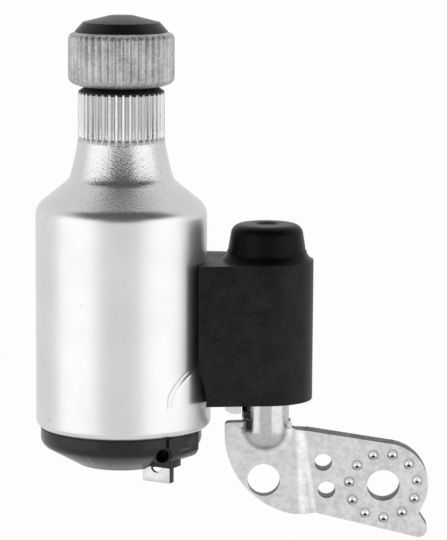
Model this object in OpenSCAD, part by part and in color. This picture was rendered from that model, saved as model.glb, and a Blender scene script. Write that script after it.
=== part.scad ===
// Bottle dynamo on a hinged steel bracket, in millimetres, +Z up.
// The origin is the centre of the bolt hole in the bracket, and the dynamo hangs to the left of it.

/* [Placing] */
// Bolt hole to hinge axis
bolt_to_hinge = 26.7; // [25:0.1:32]
// Gap between the casing and the hinge housing
cradle_gap = 2.9; // [2.2:0.1:6]
// Height of the casing's lower edge above the bolt hole
casing_lift = 15.4; // [15:0.1:18]
// Set-back of the bolted end behind the hinge
joggle = 2.64; // [1:0.1:4]
// Lean of the bolted end
end_lean = 8; // [2:0.5:12]

/* [Casing] */
// Outer diameter of the casing
casing_d = 38; // [36.6:0.1:40]
// Height of the straight side
casing_h = 45.8; // [44:0.1:52]
// Casing wall
casing_wall = 1.2; // [0.9:0.05:1.3]
// How far the rolled lower edge steps in
rim_step = 1; // [0.7:0.05:1.2]
// Depth of the rolled lower edge
rim_h = 1.5; // [1.2:0.1:2]
// Radius of the shoulder's outer corner
shoulder_r = 4; // [2:0.5:6]
// Slope of the shoulder
shoulder_slope = 39; // [30:1:45]
// Diameter at the foot of the neck
neck_foot_d = 23.2; // [22:0.2:25]
// Height of the plain tapered neck
neck_taper_h = 9; // [7:0.1:11]
// Diameter over the neck's flutes
neck_d = 19.2; // [18.8:0.1:20.4]
// Height of the fluted neck
flute_h = 10.5; // [8:0.5:13]
// Number of flutes
flute_count = 38; // [30:1:44]
// Depth of the flutes
flute_depth = 0.35; // [0.2:0.05:0.5]
// Rise of the pad that stiffens the hinge side
pad_rise = 1; // [0.6:0.1:1.4]
// Height of the pad's upper edge
pad_top = 13.5; // [10:0.5:18]
// Radius of the pad's upper corners
pad_corner_r = 8; // [5:0.5:10]

/* [Roller] */
// Diameter over the roller's ridges
roller_d = 23.4; // [22:0.2:26]
// Height of the roller
roller_h = 12; // [11:0.2:14]
// Number of ridges
ridge_count = 42; // [34:1:50]
// Depth of the ridges
ridge_depth = 0.5; // [0.3:0.05:0.7]
// Depth of the nut recess
recess_h = 5.3; // [4.8:0.1:6]
// Diameter of the nut recess
recess_d = 15.2; // [14:0.2:16]
// Height of the roller's cap
cap_h = 3.6; // [3:0.1:4.5]
// Diameter of the cap's foot
cap_d = 20.4; // [19.6:0.2:21]
// Height of the conical neck seal
seal_h = 0.7; // [0.6:0.05:1.2]
// Gap between the neck seal and the roller
roller_gap = 0.4; // [0.3:0.05:0.8]

/* [Rotor and stator] */
// Shaft diameter
shaft_d = 5; // [4.6:0.1:5.2]
// Threaded end diameter
thread_d = 4; // [3.6:0.1:4.2]
// Room for the coil, between the claws and the yoke
coil_room = 4.4; // [4.2:0.1:5.4]
// Magnet height
magnet_h = 24; // [20:0.5:25]
// Gap between the magnet and the claws
air_gap = 0.4; // [0.3:0.05:0.6]
// Sheet thickness of the claw plates
claw_t = 1.2; // [0.8:0.1:1.5]
// Claws on each plate
claw_count = 4; // [3:1:4]
// Height of the stator pack
stator_h = 27; // [26:0.5:30]
// Wall of the yoke ring
yoke_wall = 1.3; // [1:0.1:1.4]
// Wall of the bobbin
bobbin_wall = 0.8; // [0.6:0.1:1]
// Outer diameter of the upper bearing
upper_bearing_d = 13; // [11:0.2:13.6]
// Outer diameter of the lower bearing
lower_bearing_d = 9; // [8:0.2:9.6]

/* [Base cap] */
// Height of the cap's visible band
band_h = 2.9; // [2.4:0.1:3.4]
// Thickness of the gasket
gasket_t = 0.3; // [0.2:0.05:0.5]
// Depth of the cap's cone below the band
cone_h = 4.2; // [3.6:0.1:5]
// Diameter of the cap's flat-domed bottom
floor_d = 19.6; // [18:0.2:21]
// Wall of the cap
cap_wall = 1.5; // [1.2:0.1:1.8]
// Bore of the wire tunnel
wire_d = 3; // [2.6:0.1:3.2]
// Wall round the wire tunnel
wire_wall = 0.5; // [0.4:0.05:0.7]
// Width of the terminal clip
clip_w = 7; // [6.4:0.1:7.2]
// Depth of the terminal clip's side flanges
clip_depth = 1.9; // [1.7:0.1:2.2]
// Sheet thickness of the terminal clip
clip_t = 0.8; // [0.6:0.05:0.9]
// Eye in the terminal clip
eye_d = 2.7; // [2.4:0.1:2.9]
// Travel of the terminal clip
clip_travel = 3.3; // [3:0.1:3.6]

/* [Hinge] */
// Diameter of the hinge housing
housing_d = 20.8; // [20.6:0.1:21.6]
// Underside of the housing above the casing's lower edge
housing_z = 4.8; // [4.4:0.1:5.4]
// Height of the housing
housing_h = 31.2; // [31:0.1:36]
// Thickness of the cradle's lips
lip_t = 2.05; // [1.6:0.05:2.4]
// Half angle that the cradle wraps round the casing
cradle_angle = 34.7; // [32:0.5:38]
// Diameter of the hinge post
post_d = 10.6; // [10:0.1:10.8]
// Diameter of the spindle above the post
spindle_d = 6; // [5.4:0.1:6.4]
// Diameter of the spring chamber
chamber_d = 12.4; // [12.2:0.1:13]
// Diameter of the button's flange
flange_d = 18.4; // [18:0.1:18.6]
// Diameter of the button's stem
button_d = 17.2; // [16.6:0.1:17.4]
// Diameter of the button's face
button_top_d = 16.1; // [15.4:0.1:16.4]
// Height of the button above the housing
button_h = 8.1; // [8:0.1:11]
// Wall of the button
button_wall = 1.6; // [1.2:0.1:2]
// Travel of the button
button_travel = 1.9; // [1.4:0.1:2]
// Height of the collar round the button
collar_h = 2; // [1.6:0.1:2.6]
// Sheet thickness of the latch plate
latch_t = 1.5; // [1:0.1:1.6]
// Width of the latch plate
latch_w = 6; // [5:0.2:6.4]
// Wire of the hinge spring
hinge_wire = 1.4; // [1.2:0.1:1.6]
// Turns of the hinge spring
hinge_turns = 5; // [3:1:5]

/* [Bracket] */
// Plate thickness
plate_t = 3; // [2.6:0.1:3.2]
// Bolt hole diameter
bolt_d = 7.4; // [6.4:0.1:8]
// Radius of the rounded end
end_r = 10.1; // [9.9:0.1:11]
// Slope of the upper edge
top_slope = 9; // [8:0.5:11]
// Slope of the lower edge
bottom_slope = 14.1; // [13:0.1:15.5]
// Number of biting dimples
dimple_count = 11; // [8:1:11]
// Diameter of the ring of dimples
dimple_ring_d = 15.4; // [15:0.1:16]
// Radius of the ball that punches a dimple
dimple_r = 1.3; // [1.1:0.05:1.35]
// Depth of a dimple
dimple_depth = 1; // [0.7:0.05:1.2]
// Radius of the left lobe
lobe_r = 18.87; // [18.5:0.1:20]
// Diameter of the spare bolt hole in the lobe
spare_d = 7.3; // [6.4:0.1:8]
// Diameter of the two small holes
small_d = 4; // [3.4:0.1:4.4]

/* [Clearances] */
// Shaft in its bearings and post in its bores, on the radius
run_gap = 0.04; // [0.02:0.01:0.08]
// Button in its collar, on the radius
slide_gap = 0.1; // [0.06:0.01:0.1]
// Loose parts from their pockets
loose_gap = 0.15; // [0.1:0.05:0.3]
// Moving parts that must never touch
clear_gap = 0.3; // [0.2:0.05:0.5]

/* [Hidden] */
$fn = 96;
cut = 1;

// Places of the two axes, at the level of the casing's lower edge
casing_r = casing_d / 2;
housing_r = housing_d / 2;
hinge_to_axis = casing_r + cradle_gap + housing_r;
hinge_at = [-bolt_to_hinge, -joggle, casing_lift];
axis_at = hinge_at - [hinge_to_axis, 0, 0];

// Casing outline
rim_r = casing_r - rim_step;
bore_r = casing_r - casing_wall;
rim_arc_r = ((casing_r - rim_r) ^ 2 + rim_h ^ 2) / (2 * (casing_r - rim_r));
rim_angle = asin(rim_h / rim_arc_r);
pad_side = casing_r * 0.816;
shoulder_turn = 90 - shoulder_slope;
shoulder_c = [casing_r - shoulder_r, casing_h];
shoulder_end = shoulder_c + shoulder_r * [cos(shoulder_turn), sin(shoulder_turn)];
neck_foot_r = neck_foot_d / 2;
foot_z = shoulder_end[1] + (shoulder_end[0] - neck_foot_r) * tan(shoulder_slope);
foot_round = 0.6;
neck_r = neck_d / 2;
neck_core_r = neck_r - flute_depth - 0.3;
flute_z = foot_z + neck_taper_h;
neck_top = flute_z + flute_h;
upper_bearing_r = upper_bearing_d / 2;
seal_plug_h = 1;
bearing_z = foot_z + 2.3;
bearing_top = neck_top - seal_plug_h - 0.1;

// Rotor and stator heights
shaft_r = shaft_d / 2;
thread_r = thread_d / 2;
stator_top = casing_h - 0.8;
stator_z = stator_top - stator_h;
yoke_ri = bore_r - yoke_wall;
claw_ro = yoke_ri - coil_room;
claw_ri = claw_ro - claw_t;
magnet_r = claw_ri - air_gap;
magnet_z = stator_z + (stator_h - magnet_h) / 2;
hub_r = magnet_r / 2;
hub_lip = 0.6;
bobbin_ri = claw_ro + 0.3;
bobbin_ro = yoke_ri - loose_gap;
claw_tip_gap = 2.6;
claw_base_w = 6.8;
claw_tip_w = 4.4;

// Roller heights
seal_top = neck_top + seal_h;
roller_z = seal_top + roller_gap;
roller_top = roller_z + roller_h;
recess_floor = roller_top - recess_h;
roller_r = roller_d / 2;
cap_r = cap_d / 2;
washer_t = 0.8;
nut_h = 3.2;
nut_af = 7;
shaft_top = recess_floor + washer_t + nut_h + 1;
thread_z = roller_z + 1;

// Base cap heights, downwards from the casing's lower edge
band_top = -rim_h - gasket_t;
band_low = band_top - band_h;
band_r = rim_r;
cone_top = band_low - 1.1;
cone_top_r = band_r - 0.8;
cone_low = cone_top - cone_h;
floor_r = floor_d / 2;
floor_z = cone_low - 0.6;
skirt_r = bore_r - 0.05;
waist_r = bore_r - (casing_r - rim_r) - 0.1;
lower_bearing_r = lower_bearing_d / 2;
boss_top = 3;
bearing_floor = -6.8;
pad_t = 0.8;
thrust_top = bearing_floor + pad_t;
shaft_end = thrust_top + 0.1;

// Terminal
clip_r = rim_r - 5.5;
clip_bearing = -50;
clip_turn = -30;
clip_at = clip_r * [cos(clip_bearing), sin(clip_bearing)];
wire_z = -5.75;
eye_z = wire_z - clip_travel;
clip_low = eye_z - 3.55;
clip_top = eye_z + 4.15;
pocket_top = clip_top + clip_travel + 3.6;
collar_low = eye_z + 0.15;
tunnel_bearing = -71.3;
tunnel_l = 4.882;
tunnel_wall = 2.6;
mouth_at = clip_at + tunnel_l * [cos(tunnel_bearing), sin(tunnel_bearing)];
tunnel = clip_at - mouth_at;
tunnel_turn = atan2(tunnel[1], tunnel[0]);
tunnel_r = wire_d / 2;
tube_r = tunnel_r + wire_wall;
block_turn = 55;
block_w = rim_r - 0.4;
block_low = wire_z - tube_r - 0.1;
block_round = 2.6;
block_end = 5.2;
contact_t = 0.5;
channel_w = 6.2;

// Hinge heights above the casing's lower edge
housing_top = housing_z + housing_h;
post_r = post_d / 2;
dome_z = -2;
spindle_r = spindle_d / 2;
post_inside = 7.2;
post_top = housing_z + post_inside;
thrust_t = 0.3;
deck_z = post_top + thrust_t;
deck_h = 2.7;
chamber_z = deck_z + deck_h;
chamber_r = chamber_d / 2;
flange_r = flange_d / 2;
flange_t = 1.1;
well_r = flange_r + loose_gap;
collar_seat = 1.4;
collar_low_z = housing_top - collar_seat;
collar_r = well_r + 0.25;
button_r = button_d / 2;
button_top_r = button_top_d / 2;
flange_top = collar_low_z - 0.1;
flange_z = flange_top - flange_t;
well_z = flange_z - button_travel - 0.4;
bush_h = 6;
bush_z = well_z - bush_h;
clip_ring_t = 0.8;
ring_z = well_z + washer_t + 0.05;
spindle_top = ring_z + clip_ring_t + 1.35;
groove_r = spindle_r - 0.4;
button_top = housing_top + button_h;
face_round = 1.6;
seat_z = button_top - 4.5;
seat_r = button_r - button_wall - 1.4;
hollow_r = button_r - button_wall;
latch_out = 9;
latch_in = latch_out - latch_t;
nose_in = post_r + clear_gap;
nose_low = 1.5;
nose_top = housing_z - clear_gap;
cove_r = 13.7;

// Screws that hold the housing from inside the casing
screw_r = 1.4;
head_r = 2.6;
head_h = 0.9;
screw_reach = 4.8;
screw_levels = [housing_z + 4, bush_z - 1];

// Springs
hinge_coil_r = (spindle_r + chamber_r) / 2 + 0.3;
tang_start = 1.4;
tang_end = chamber_r + 1.7;
tang_low = chamber_z + hinge_wire / 2 + 0.1;
tang_high = bush_z - hinge_wire / 2 - 0.1;
button_wire = 0.9;
button_coil_r = 6.4;
button_turns = 4;
clip_wire = 0.44;
clip_coil_r = 0.7;
clip_turns = 5;
coil_sides = 6;
coil_steps = 16;

// Bracket outlines. The bolted end has its own plane through the bolt hole.
lobe_reach = 9.14;
lobe_drop = 21.96;
lobe_c = [hinge_at[0] - lobe_reach + lobe_r, hinge_at[2] - lobe_drop + lobe_r];
lobe_top = hinge_at[2] - 0.85;
lobe_corner = 0.8;
corner_drop = lobe_top - lobe_corner - lobe_c[1];
side_start = 180.35 - asin(corner_drop / lobe_r);
ear_at = [hinge_at[0] + 5.6, hinge_at[2] - 0.25];
bend_top = [hinge_at[0] + 6, hinge_at[2] - 2];
bend_in = 6.9;
bend_low_x = hinge_at[0] + bend_in;
side_end = 180 + acos((lobe_c[0] - bend_low_x) / lobe_r);
bend_low = [bend_low_x, lobe_c[1] - sqrt(lobe_r ^ 2 - (bend_low_x - lobe_c[0]) ^ 2)];
spare_wall = 0.47;
spare_bearing = 227.14;
spare_at = lobe_c + (lobe_r - spare_wall - spare_d / 2) * [cos(spare_bearing), sin(spare_bearing)];
notch_at = [8.17, -6.7];
finger_c = [8.15, -10.45];
finger_r = 2;
arm_top_x = -17.6;
arm_top = [arm_top_x, end_r / cos(top_slope) - arm_top_x * tan(top_slope)];
arm_low_x = -14.8;
arm_low = [arm_low_x, finger_c[1] - finger_r / cos(bottom_slope)
    + (finger_c[0] - arm_low_x) * tan(bottom_slope)];
small_at = [[-13.63, 5.46], [-12.77, -1.13]];
dimple_phase = 10;
tooth_h = 0.9;
bead_w = 1.2;
bead_h = 1.8;
loft_across = 6;
loft_down = 8;
tongue = 0.15;
tongue_edge = 0.006;
// The straight edges run this much into the round ends, so that no face only touches another
bite = 0.02;

// Points of an arc, from angle a0 to a1
function arc(c, r, a0, a1, n = 6) =
    [for (i = [0:n]) let (a = a0 + (a1 - a0) * i / n) c + r * [cos(a), sin(a)]];

// Touching point on a circle of the line from p, on the side s (1 or -1)
function tangent(p, c, r, s) =
    let (d = c - p, l = norm(d), a = atan2(d[1], d[0]) + s * asin(r / l))
    p + sqrt(l ^ 2 - r ^ 2) * [cos(a), sin(a)];

// A ridged outline: n ridges of outer radius ro and root radius ri, with flats of the given share
function ridges(n, ro, ri, crest, root) =
    [for (i = [0:n - 1], k = [[-crest, ro], [crest, ro], [1 - root, ri], [1 + root, ri]])
        let (a = (i + k[0] / 2) * 360 / n) k[1] * [cos(a), sin(a)]];

// Outline of the casing's outer side up to the foot of the neck, for a wall at radius r
function side_outline(r) = concat(
    [[0, -rim_h]],
    arc([r - rim_arc_r, 0], rim_arc_r, -rim_angle, 0, 5),
    arc([r - shoulder_r, casing_h], shoulder_r, 0, shoulder_turn, 5)
);

// A round wire of diameter d along the points at, none of whose runs is upright
module wire(at, d) {
    n = len(at) - 1;
    rings = [for (i = [0:n], k = [0:coil_sides - 1])
        let (
            run = at[min(i + 1, n)] - at[max(i - 1, 0)],
            side = cross(run, [0, 0, 1]),
            over = cross(side, run),
            a = k * 360 / coil_sides
        ) at[i] + d / 2 * (cos(a) * side / norm(side) + sin(a) * over / norm(over))];
    walls = [for (i = [0:n - 1], k = [0:coil_sides - 1])
        let (a = i * coil_sides + k, b = i * coil_sides + (k + 1) % coil_sides)
        each [[a, b, a + coil_sides], [b, b + coil_sides, a + coil_sides]]];
    far = n * coil_sides;
    ends = [for (k = [1:coil_sides - 2]) each [[0, k + 1, k], [far, far + k, far + k + 1]]];
    polyhedron(rings, concat(walls, ends), convexity = 6);
}

// Points of a coil of radius r from height z0 to z1
function coil(r, z0, z1, turns) = [for (i = [0:turns * coil_steps])
    let (t = i / (turns * coil_steps), a = 360 * turns * t) [r * cos(a), r * sin(a), z0 + (z1 - z0) * t]];

module at_axis() translate(axis_at) children();
module at_hinge() translate(hinge_at) children();
module at_clip() translate(clip_at) rotate(clip_turn) children();

module ring(ro, ri, h) difference() {
    cylinder(r = ro, h = h);
    translate([0, 0, -cut]) cylinder(r = ri, h = h + 2 * cut);
}

// A retaining ring with an open mouth towards +X
module circlip(ro, ri, h) difference() {
    ring(ro, ri, h);
    translate([0, -ri * 0.6, -cut]) cube([ro + cut, ri * 1.2, h + 2 * cut]);
}

// Outside of the casing's body, as the hinge housing's cradle fits it
module casing_side() {
    rotate_extrude() polygon(concat(side_outline(casing_r), [[0, shoulder_end[1]]]));
    casing_pad();
}

// Round raised pad that stiffens the wall on the hinge side
module casing_pad() {
    shift = (2 * casing_r * pad_rise + pad_rise ^ 2) / (2 * (casing_r + pad_rise - casing_r * cos(55)));
    intersection() {
        translate([shift, 0, 0]) rotate_extrude()
            polygon(concat(side_outline(casing_r + pad_rise - shift), [[0, shoulder_end[1]]]));
        rotate([90, 0, 90]) linear_extrude(casing_r + pad_rise + cut) {
            for (s = [-1, 1]) translate([s * (pad_side - pad_corner_r), pad_top - pad_corner_r]) circle(pad_corner_r);
            translate([-pad_side, -rim_h - cut]) square([2 * pad_side, pad_top - pad_corner_r + rim_h + cut]);
            translate([-pad_side + pad_corner_r, 0]) square([2 * (pad_side - pad_corner_r), pad_top]);
        }
    }
}

module casing() color("silver") at_axis() difference() {
    union() {
        casing_side();
        rotate_extrude() polygon([
            [0, shoulder_end[1]], shoulder_end, [neck_foot_r + foot_round, foot_z - foot_round * tan(shoulder_slope)],
            [neck_foot_r - foot_round / 2, foot_z + foot_round],
            [neck_r - flute_depth / 2, flute_z], [neck_core_r, flute_z + 0.2], [neck_core_r, flute_z + cut],
            [0, flute_z + cut]
        ]);
        intersection() {
            translate([0, 0, flute_z - cut])
                linear_extrude(flute_h + cut)
                    polygon(ridges(flute_count, neck_r, neck_r - flute_depth, 0.4, 0.35));
            rotate_extrude() polygon([
                [0, flute_z - cut], [neck_core_r, flute_z - 0.4], [neck_r + 0.1, flute_z + 0.5],
                [neck_r + 0.1, neck_top - 0.4], [neck_r - 0.25, neck_top], [0, neck_top]
            ]);
        }
    }
    casing_cavity();
    translate([hinge_to_axis, 0, 0]) housing_screw_holes();
}

// Hollow of the casing: a plain bore, the shoulder and the bearing seat in the neck
module casing_cavity() rotate_extrude() polygon(concat(
    [[0, -rim_h - cut], [waist_r + 0.1, -rim_h - cut]],
    [[waist_r + 0.1, -rim_h], [bore_r, -0.2]],
    [[bore_r, stator_top], [bore_r - 1.4, stator_top], [bore_r - 1.4, stator_top + 2]],
    [[neck_foot_r - 2, foot_z - 0.5], [upper_bearing_r, bearing_z - 0.6]],
    [[upper_bearing_r, neck_top + cut], [0, neck_top + cut]]
));

module base_gasket() color("black") at_axis() translate([0, 0, band_top])
    ring(band_r - 0.1, waist_r + 0.02, gasket_t);

module base_cap() color("#3a3a3e") at_axis() difference() {
    union() {
        cap_shell();
        difference() {
            union() {
                translate([0, 0, floor_z + cap_wall / 2])
                    cylinder(r = lower_bearing_r + cap_wall, h = boss_top - floor_z - cap_wall / 2);
                pocket_walls();
            }
            cap_outside();
        }
        terminal_block();
        clip_guide();
    }
    translate([0, 0, bearing_floor]) cylinder(r = lower_bearing_r, h = boss_top - bearing_floor + cut);
    clip_pocket();
    wire_tunnel();
    rivet_channel();
}

// Outer profile of the cap below the casing, from the band down to the bottom centre
function cap_outline() = concat(
    [[band_r, band_top], [band_r, band_low + 0.4], [band_r - 0.25, band_low - 0.4]],
    [[cone_top_r, cone_top], [floor_r, cone_low]],
    [[floor_r * 0.8, cone_low - 0.35], [floor_r * 0.5, floor_z + 0.1], [0, floor_z]]
);

module cap_shell() rotate_extrude() polygon(concat(
    [[skirt_r, stator_z], [skirt_r, 0.3], [waist_r, 0.3], [waist_r, band_top]],
    cap_outline(),
    [[0, floor_z + cap_wall], [floor_r, cone_low + cap_wall], [waist_r - cap_wall, cone_top + cap_wall * 0.7]],
    [[waist_r - cap_wall, 0.6], [yoke_ri, 1.8], [yoke_ri, stator_z]]
));

// Everything outside the cap, that trims what is built inside it
module cap_outside() difference() {
    translate([0, 0, floor_z - cut]) cylinder(r = casing_r, h = stator_z - floor_z);
    rotate_extrude() polygon(concat(
        [[0, stator_z], [yoke_ri + 0.4, stator_z], [yoke_ri + 0.4, 0.3], [waist_r - 0.3, 0.3]],
        [[waist_r - 0.3, band_top], [band_r - 0.6, band_top], [band_r - 0.6, band_low]],
        [[cone_top_r, cone_top + 0.5], [floor_r, cone_low + 0.5], [0, floor_z + 0.5]]
    ));
}

module pocket_walls() at_clip()
    translate([-clip_w / 2 - cap_wall, -cap_wall, floor_z])
        cube([clip_w + 2 * cap_wall, clip_depth + 2 * cap_wall, pocket_top - floor_z]);

module clip_pocket() at_clip()
    translate([-clip_w / 2 - loose_gap, -loose_gap, floor_z - 2])
        cube([clip_w + 2 * loose_gap, clip_depth + 2 * loose_gap, pocket_top - floor_z + 2 + cut]);

// Low collar that leads the clip out of the cone
module clip_guide() at_clip()
    translate([-clip_w / 2 - 1.1, -1.1, collar_low])
        cube([clip_w + 2.2, clip_depth + 2.2, 3]);

// Housing of the wire tunnel: a short tube and the slanting block beside it
module terminal_block() intersection() {
    translate([0, 0, floor_z]) cylinder(r = casing_r - 0.3, h = band_top - floor_z);
    union() {
        translate([mouth_at[0], mouth_at[1], wire_z]) rotate(tunnel_turn) rotate([0, 90, 0])
            cylinder(r = tube_r, h = tunnel_l);
        translate([mouth_at[0], mouth_at[1], wire_z]) rotate(tunnel_turn)
            translate([0, -tube_r, 0]) cube([tunnel_l, 2 * tube_r, band_top - wire_z]);
        intersection() {
            rotate(block_turn) translate([block_end, 0, 0]) rotate([0, -90, 0])
                linear_extrude(3 * block_end) mirror([1, 0]) polygon(block_profile());
            translate([mouth_at[0] + tube_r * 0.7, -casing_r, floor_z])
                cube([casing_r, casing_r, band_top - floor_z]);
        }
    }
}

// Section of the slanting block, as depth below the casing's edge and distance from the axis
function block_profile() = concat(
    [[-band_top, -8], [-band_top, -block_w]],
    [for (p = arc([0, 0], block_round, 0, 90, 6))
        [-block_low - block_round + p[1], -block_w + block_round - p[0]]],
    [[-block_low, -8]]
);

// The tunnel's last stretch is wider, so that the wire finds the eye
module wire_tunnel() translate([mouth_at[0], mouth_at[1], wire_z]) rotate(tunnel_turn) {
    rotate([0, 90, 0]) translate([0, 0, -cut]) cylinder(r = tunnel_r, h = tunnel_wall + 2 * cut);
    rotate([0, 90, 0]) translate([0, 0, tunnel_wall])
        cylinder(r = tunnel_r + wire_wall / 2, h = tunnel_l - tunnel_wall + clip_t);
    translate([-6, 0, 0]) rotate([0, 90, 0]) cylinder(r = tube_r + 0.05, h = 6);
}

// Channel for the screw heads inside the casing
module rivet_channel() translate([0, -channel_w / 2, 0.3 + 0.3])
    cube([casing_r, channel_w, stator_top]);

module thrust_pad() color("white") at_axis() translate([0, 0, bearing_floor])
    cylinder(r = lower_bearing_r - 0.05, h = pad_t);

module lower_bearing() color("peru") at_axis() translate([0, 0, thrust_top + 0.2])
    ring(lower_bearing_r, shaft_r + run_gap, boss_top - thrust_top - 0.4);

module upper_bearing() color("peru") at_axis() translate([0, 0, bearing_z])
    ring(upper_bearing_r, shaft_r + run_gap, bearing_top - bearing_z);

module neck_seal() color("black") at_axis() difference() {
    rotate_extrude() polygon([
        [0, neck_top - seal_plug_h], [upper_bearing_r - 0.05, neck_top - seal_plug_h],
        [upper_bearing_r - 0.05, neck_top], [neck_r - 0.15, neck_top],
        [neck_r - 1.1, seal_top], [0, seal_top]
    ]);
    translate([0, 0, neck_top - seal_plug_h - cut])
        cylinder(r = shaft_r + clear_gap, h = seal_h + seal_plug_h + 2 * cut);
}

module yoke_ring() color("dimgray") at_axis() difference() {
    translate([0, 0, stator_z]) ring(bore_r, yoke_ri, stator_h);
    rivet_channel();
}

// Claws on a flat ring: the ring lies at z = 0 and the claws stand up from it
module claws() {
    ring(yoke_ri, claw_ri, claw_t);
    reach = stator_h - claw_tip_gap;
    for (i = [0:claw_count - 1]) rotate(i * 360 / claw_count) intersection() {
        ring(claw_ro, claw_ri, reach);
        translate([0, 0, claw_t / 2]) rotate([90, 0, 90]) linear_extrude(claw_ro + cut) polygon([
            [-claw_base_w / 2, 0], [claw_base_w / 2, 0],
            [claw_tip_w / 2, reach], [-claw_tip_w / 2, reach]
        ]);
    }
}

module lower_claws() color("gray") at_axis() translate([0, 0, stator_z]) claws();

module upper_claws() color("gray") at_axis() translate([0, 0, stator_top])
    rotate(180 / claw_count) mirror([0, 0, 1]) claws();

module bobbin() color("ivory") at_axis() translate([0, 0, stator_z + claw_t]) {
    h = stator_h - 2 * claw_t;
    ring(bobbin_ri + bobbin_wall, bobbin_ri, h);
    for (z = [0, h - bobbin_wall]) translate([0, 0, z]) ring(bobbin_ro, bobbin_ri, bobbin_wall);
}

module winding() color("orangered") at_axis() translate([0, 0, stator_z + claw_t + bobbin_wall])
    ring(bobbin_ro - 0.3, bobbin_ri + bobbin_wall, stator_h - 2 * (claw_t + bobbin_wall));

// Brass strip: it closes the clip's pocket and rises to the winding
module terminal_contact() color("gold") at_axis() at_clip() {
    strip_w = 3;
    translate([-clip_w / 2, 0, pocket_top]) cube([clip_w, clip_depth, contact_t]);
    translate([-strip_w / 2, clip_depth - contact_t, pocket_top])
        cube([strip_w, contact_t, stator_z - pocket_top]);
}

module terminal_spring() color("silver") at_axis() at_clip()
    translate([0, clip_depth / 2 + 0.05, 0])
        wire(coil(clip_coil_r, clip_top + clip_wire / 2 + 0.05, pocket_top - clip_wire / 2 - 0.05, clip_turns),
            clip_wire);

module terminal_clip() color("silver") at_axis() at_clip() difference() {
    union() {
        for (x = [-clip_w / 2, clip_w / 2 - clip_t]) translate([x, 0, clip_low])
            cube([clip_t, clip_depth, clip_top - clip_low]);
        translate([-clip_w / 2, 0, clip_low]) cube([clip_w, clip_t, clip_top - clip_low]);
        translate([-clip_w / 2, 0, clip_top - clip_t]) cube([clip_w, clip_depth, clip_t]);
    }
    translate([0, -cut, eye_z]) rotate([-90, 0, 0]) cylinder(d = eye_d, h = clip_t + 2 * cut);
}

module rotor_shaft() color("silver") at_axis() {
    translate([0, 0, shaft_end]) cylinder(r = shaft_r, h = thread_z - shaft_end);
    translate([0, 0, thread_z - cut]) cylinder(r = thread_r, h = shaft_top - thread_z + cut - 0.4);
    translate([0, 0, shaft_top - 0.4]) cylinder(r1 = thread_r, r2 = thread_r - 0.4, h = 0.4);
}

module shaft_circlip() color("dimgray") at_axis() translate([0, 0, bearing_z - clip_ring_t - 0.15])
    circlip(shaft_r + 1.6, shaft_r, clip_ring_t);

module magnet_hub() color("ivory") at_axis() translate([0, 0, magnet_z - hub_lip]) {
    ring(hub_r, shaft_r, magnet_h + 2 * hub_lip);
    for (z = [0, magnet_h + hub_lip]) translate([0, 0, z]) ring(hub_r + 1.2, shaft_r, hub_lip);
}

module rotor_magnet() color("#303234") at_axis() translate([0, 0, magnet_z])
    ring(magnet_r, hub_r, magnet_h);

module drive_roller() color("darkgray") at_axis() difference() {
    intersection() {
        translate([0, 0, roller_z]) linear_extrude(roller_h)
            polygon(ridges(ridge_count, roller_r, roller_r - ridge_depth, 0.16, 0.16));
        rotate_extrude() polygon([
            [0, roller_z], [roller_r - 3.4, roller_z], [roller_r - 1.3, roller_z + 0.5],
            [roller_r + 0.1, roller_z + 1.8], [roller_r + 0.1, roller_top - 1.3], [roller_r - 0.4, roller_top - 0.6],
            [cap_r, roller_top], [0, roller_top]
        ]);
    }
    translate([0, 0, recess_floor]) cylinder(d = recess_d, h = recess_h + cut);
    translate([0, 0, roller_z - cut]) cylinder(r = shaft_r, h = thread_z - roller_z + cut);
    cylinder(r = thread_r, h = roller_top);
}

module lock_washer() color("dimgray") at_axis() translate([0, 0, recess_floor])
    ring(nut_af * 0.62, thread_r, washer_t);

module roller_nut() color("gainsboro") at_axis() translate([0, 0, recess_floor + washer_t]) difference() {
    cylinder(d = nut_af / cos(30), h = nut_h, $fn = 6);
    translate([0, 0, -cut]) cylinder(r = thread_r, h = nut_h + 2 * cut);
}

module roller_cap() color("#2c2c30") at_axis() difference() {
    rotate_extrude() polygon([
        [0, recess_floor + 0.3], [recess_d / 2 - 0.05, recess_floor + 0.3], [recess_d / 2 - 0.05, roller_top],
        [cap_r, roller_top], [cap_r, roller_top + 0.15],
        [cap_r * 0.83, roller_top + cap_h * 0.58], [cap_r * 0.26, roller_top + cap_h - 0.05],
        [0, roller_top + cap_h]
    ]);
    translate([0, 0, recess_floor - cut]) cylinder(r = recess_d / 2 - 1.2, h = shaft_top - recess_floor + 0.5 + cut);
}

// Plan of the hinge housing: the round hinge and the web that reaches the casing
function lip(s) = (casing_r + lip_t) * [cos(cradle_angle), s * sin(cradle_angle)] - [hinge_to_axis, 0];

module housing_block() {
    translate([0, 0, housing_z]) cylinder(r = housing_r, h = housing_h);
    translate([0, 0, housing_z]) linear_extrude(housing_h) polygon([
        lip(-1), tangent(lip(-1), [0, 0], housing_r, -1), [0, 0], tangent(lip(1), [0, 0], housing_r, 1), lip(1)
    ]);
}

module hinge_housing() color("#1c1c1e") at_hinge() difference() {
    housing_block();
    translate([-hinge_to_axis, 0, 0]) casing_side();
    translate([-housing_r - cradle_gap + 0.1 - cove_r, 0, housing_z + 1]) rotate([90, 0, 0])
        cylinder(r = cove_r, h = 2 * casing_r, center = true);
    translate([0, 0, housing_z - cut]) cylinder(r = post_r + run_gap, h = deck_z - housing_z + cut);
    cylinder(r = spindle_r + run_gap, h = housing_top);
    translate([0, 0, chamber_z]) cylinder(r = chamber_r, h = housing_h);
    translate([0, 0, well_z]) cylinder(r = well_r, h = housing_h);
    translate([0, 0, collar_low_z]) cylinder(r = collar_r, h = housing_h);
    latch_slot();
    tang_slot();
    housing_screw_holes();
}

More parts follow.
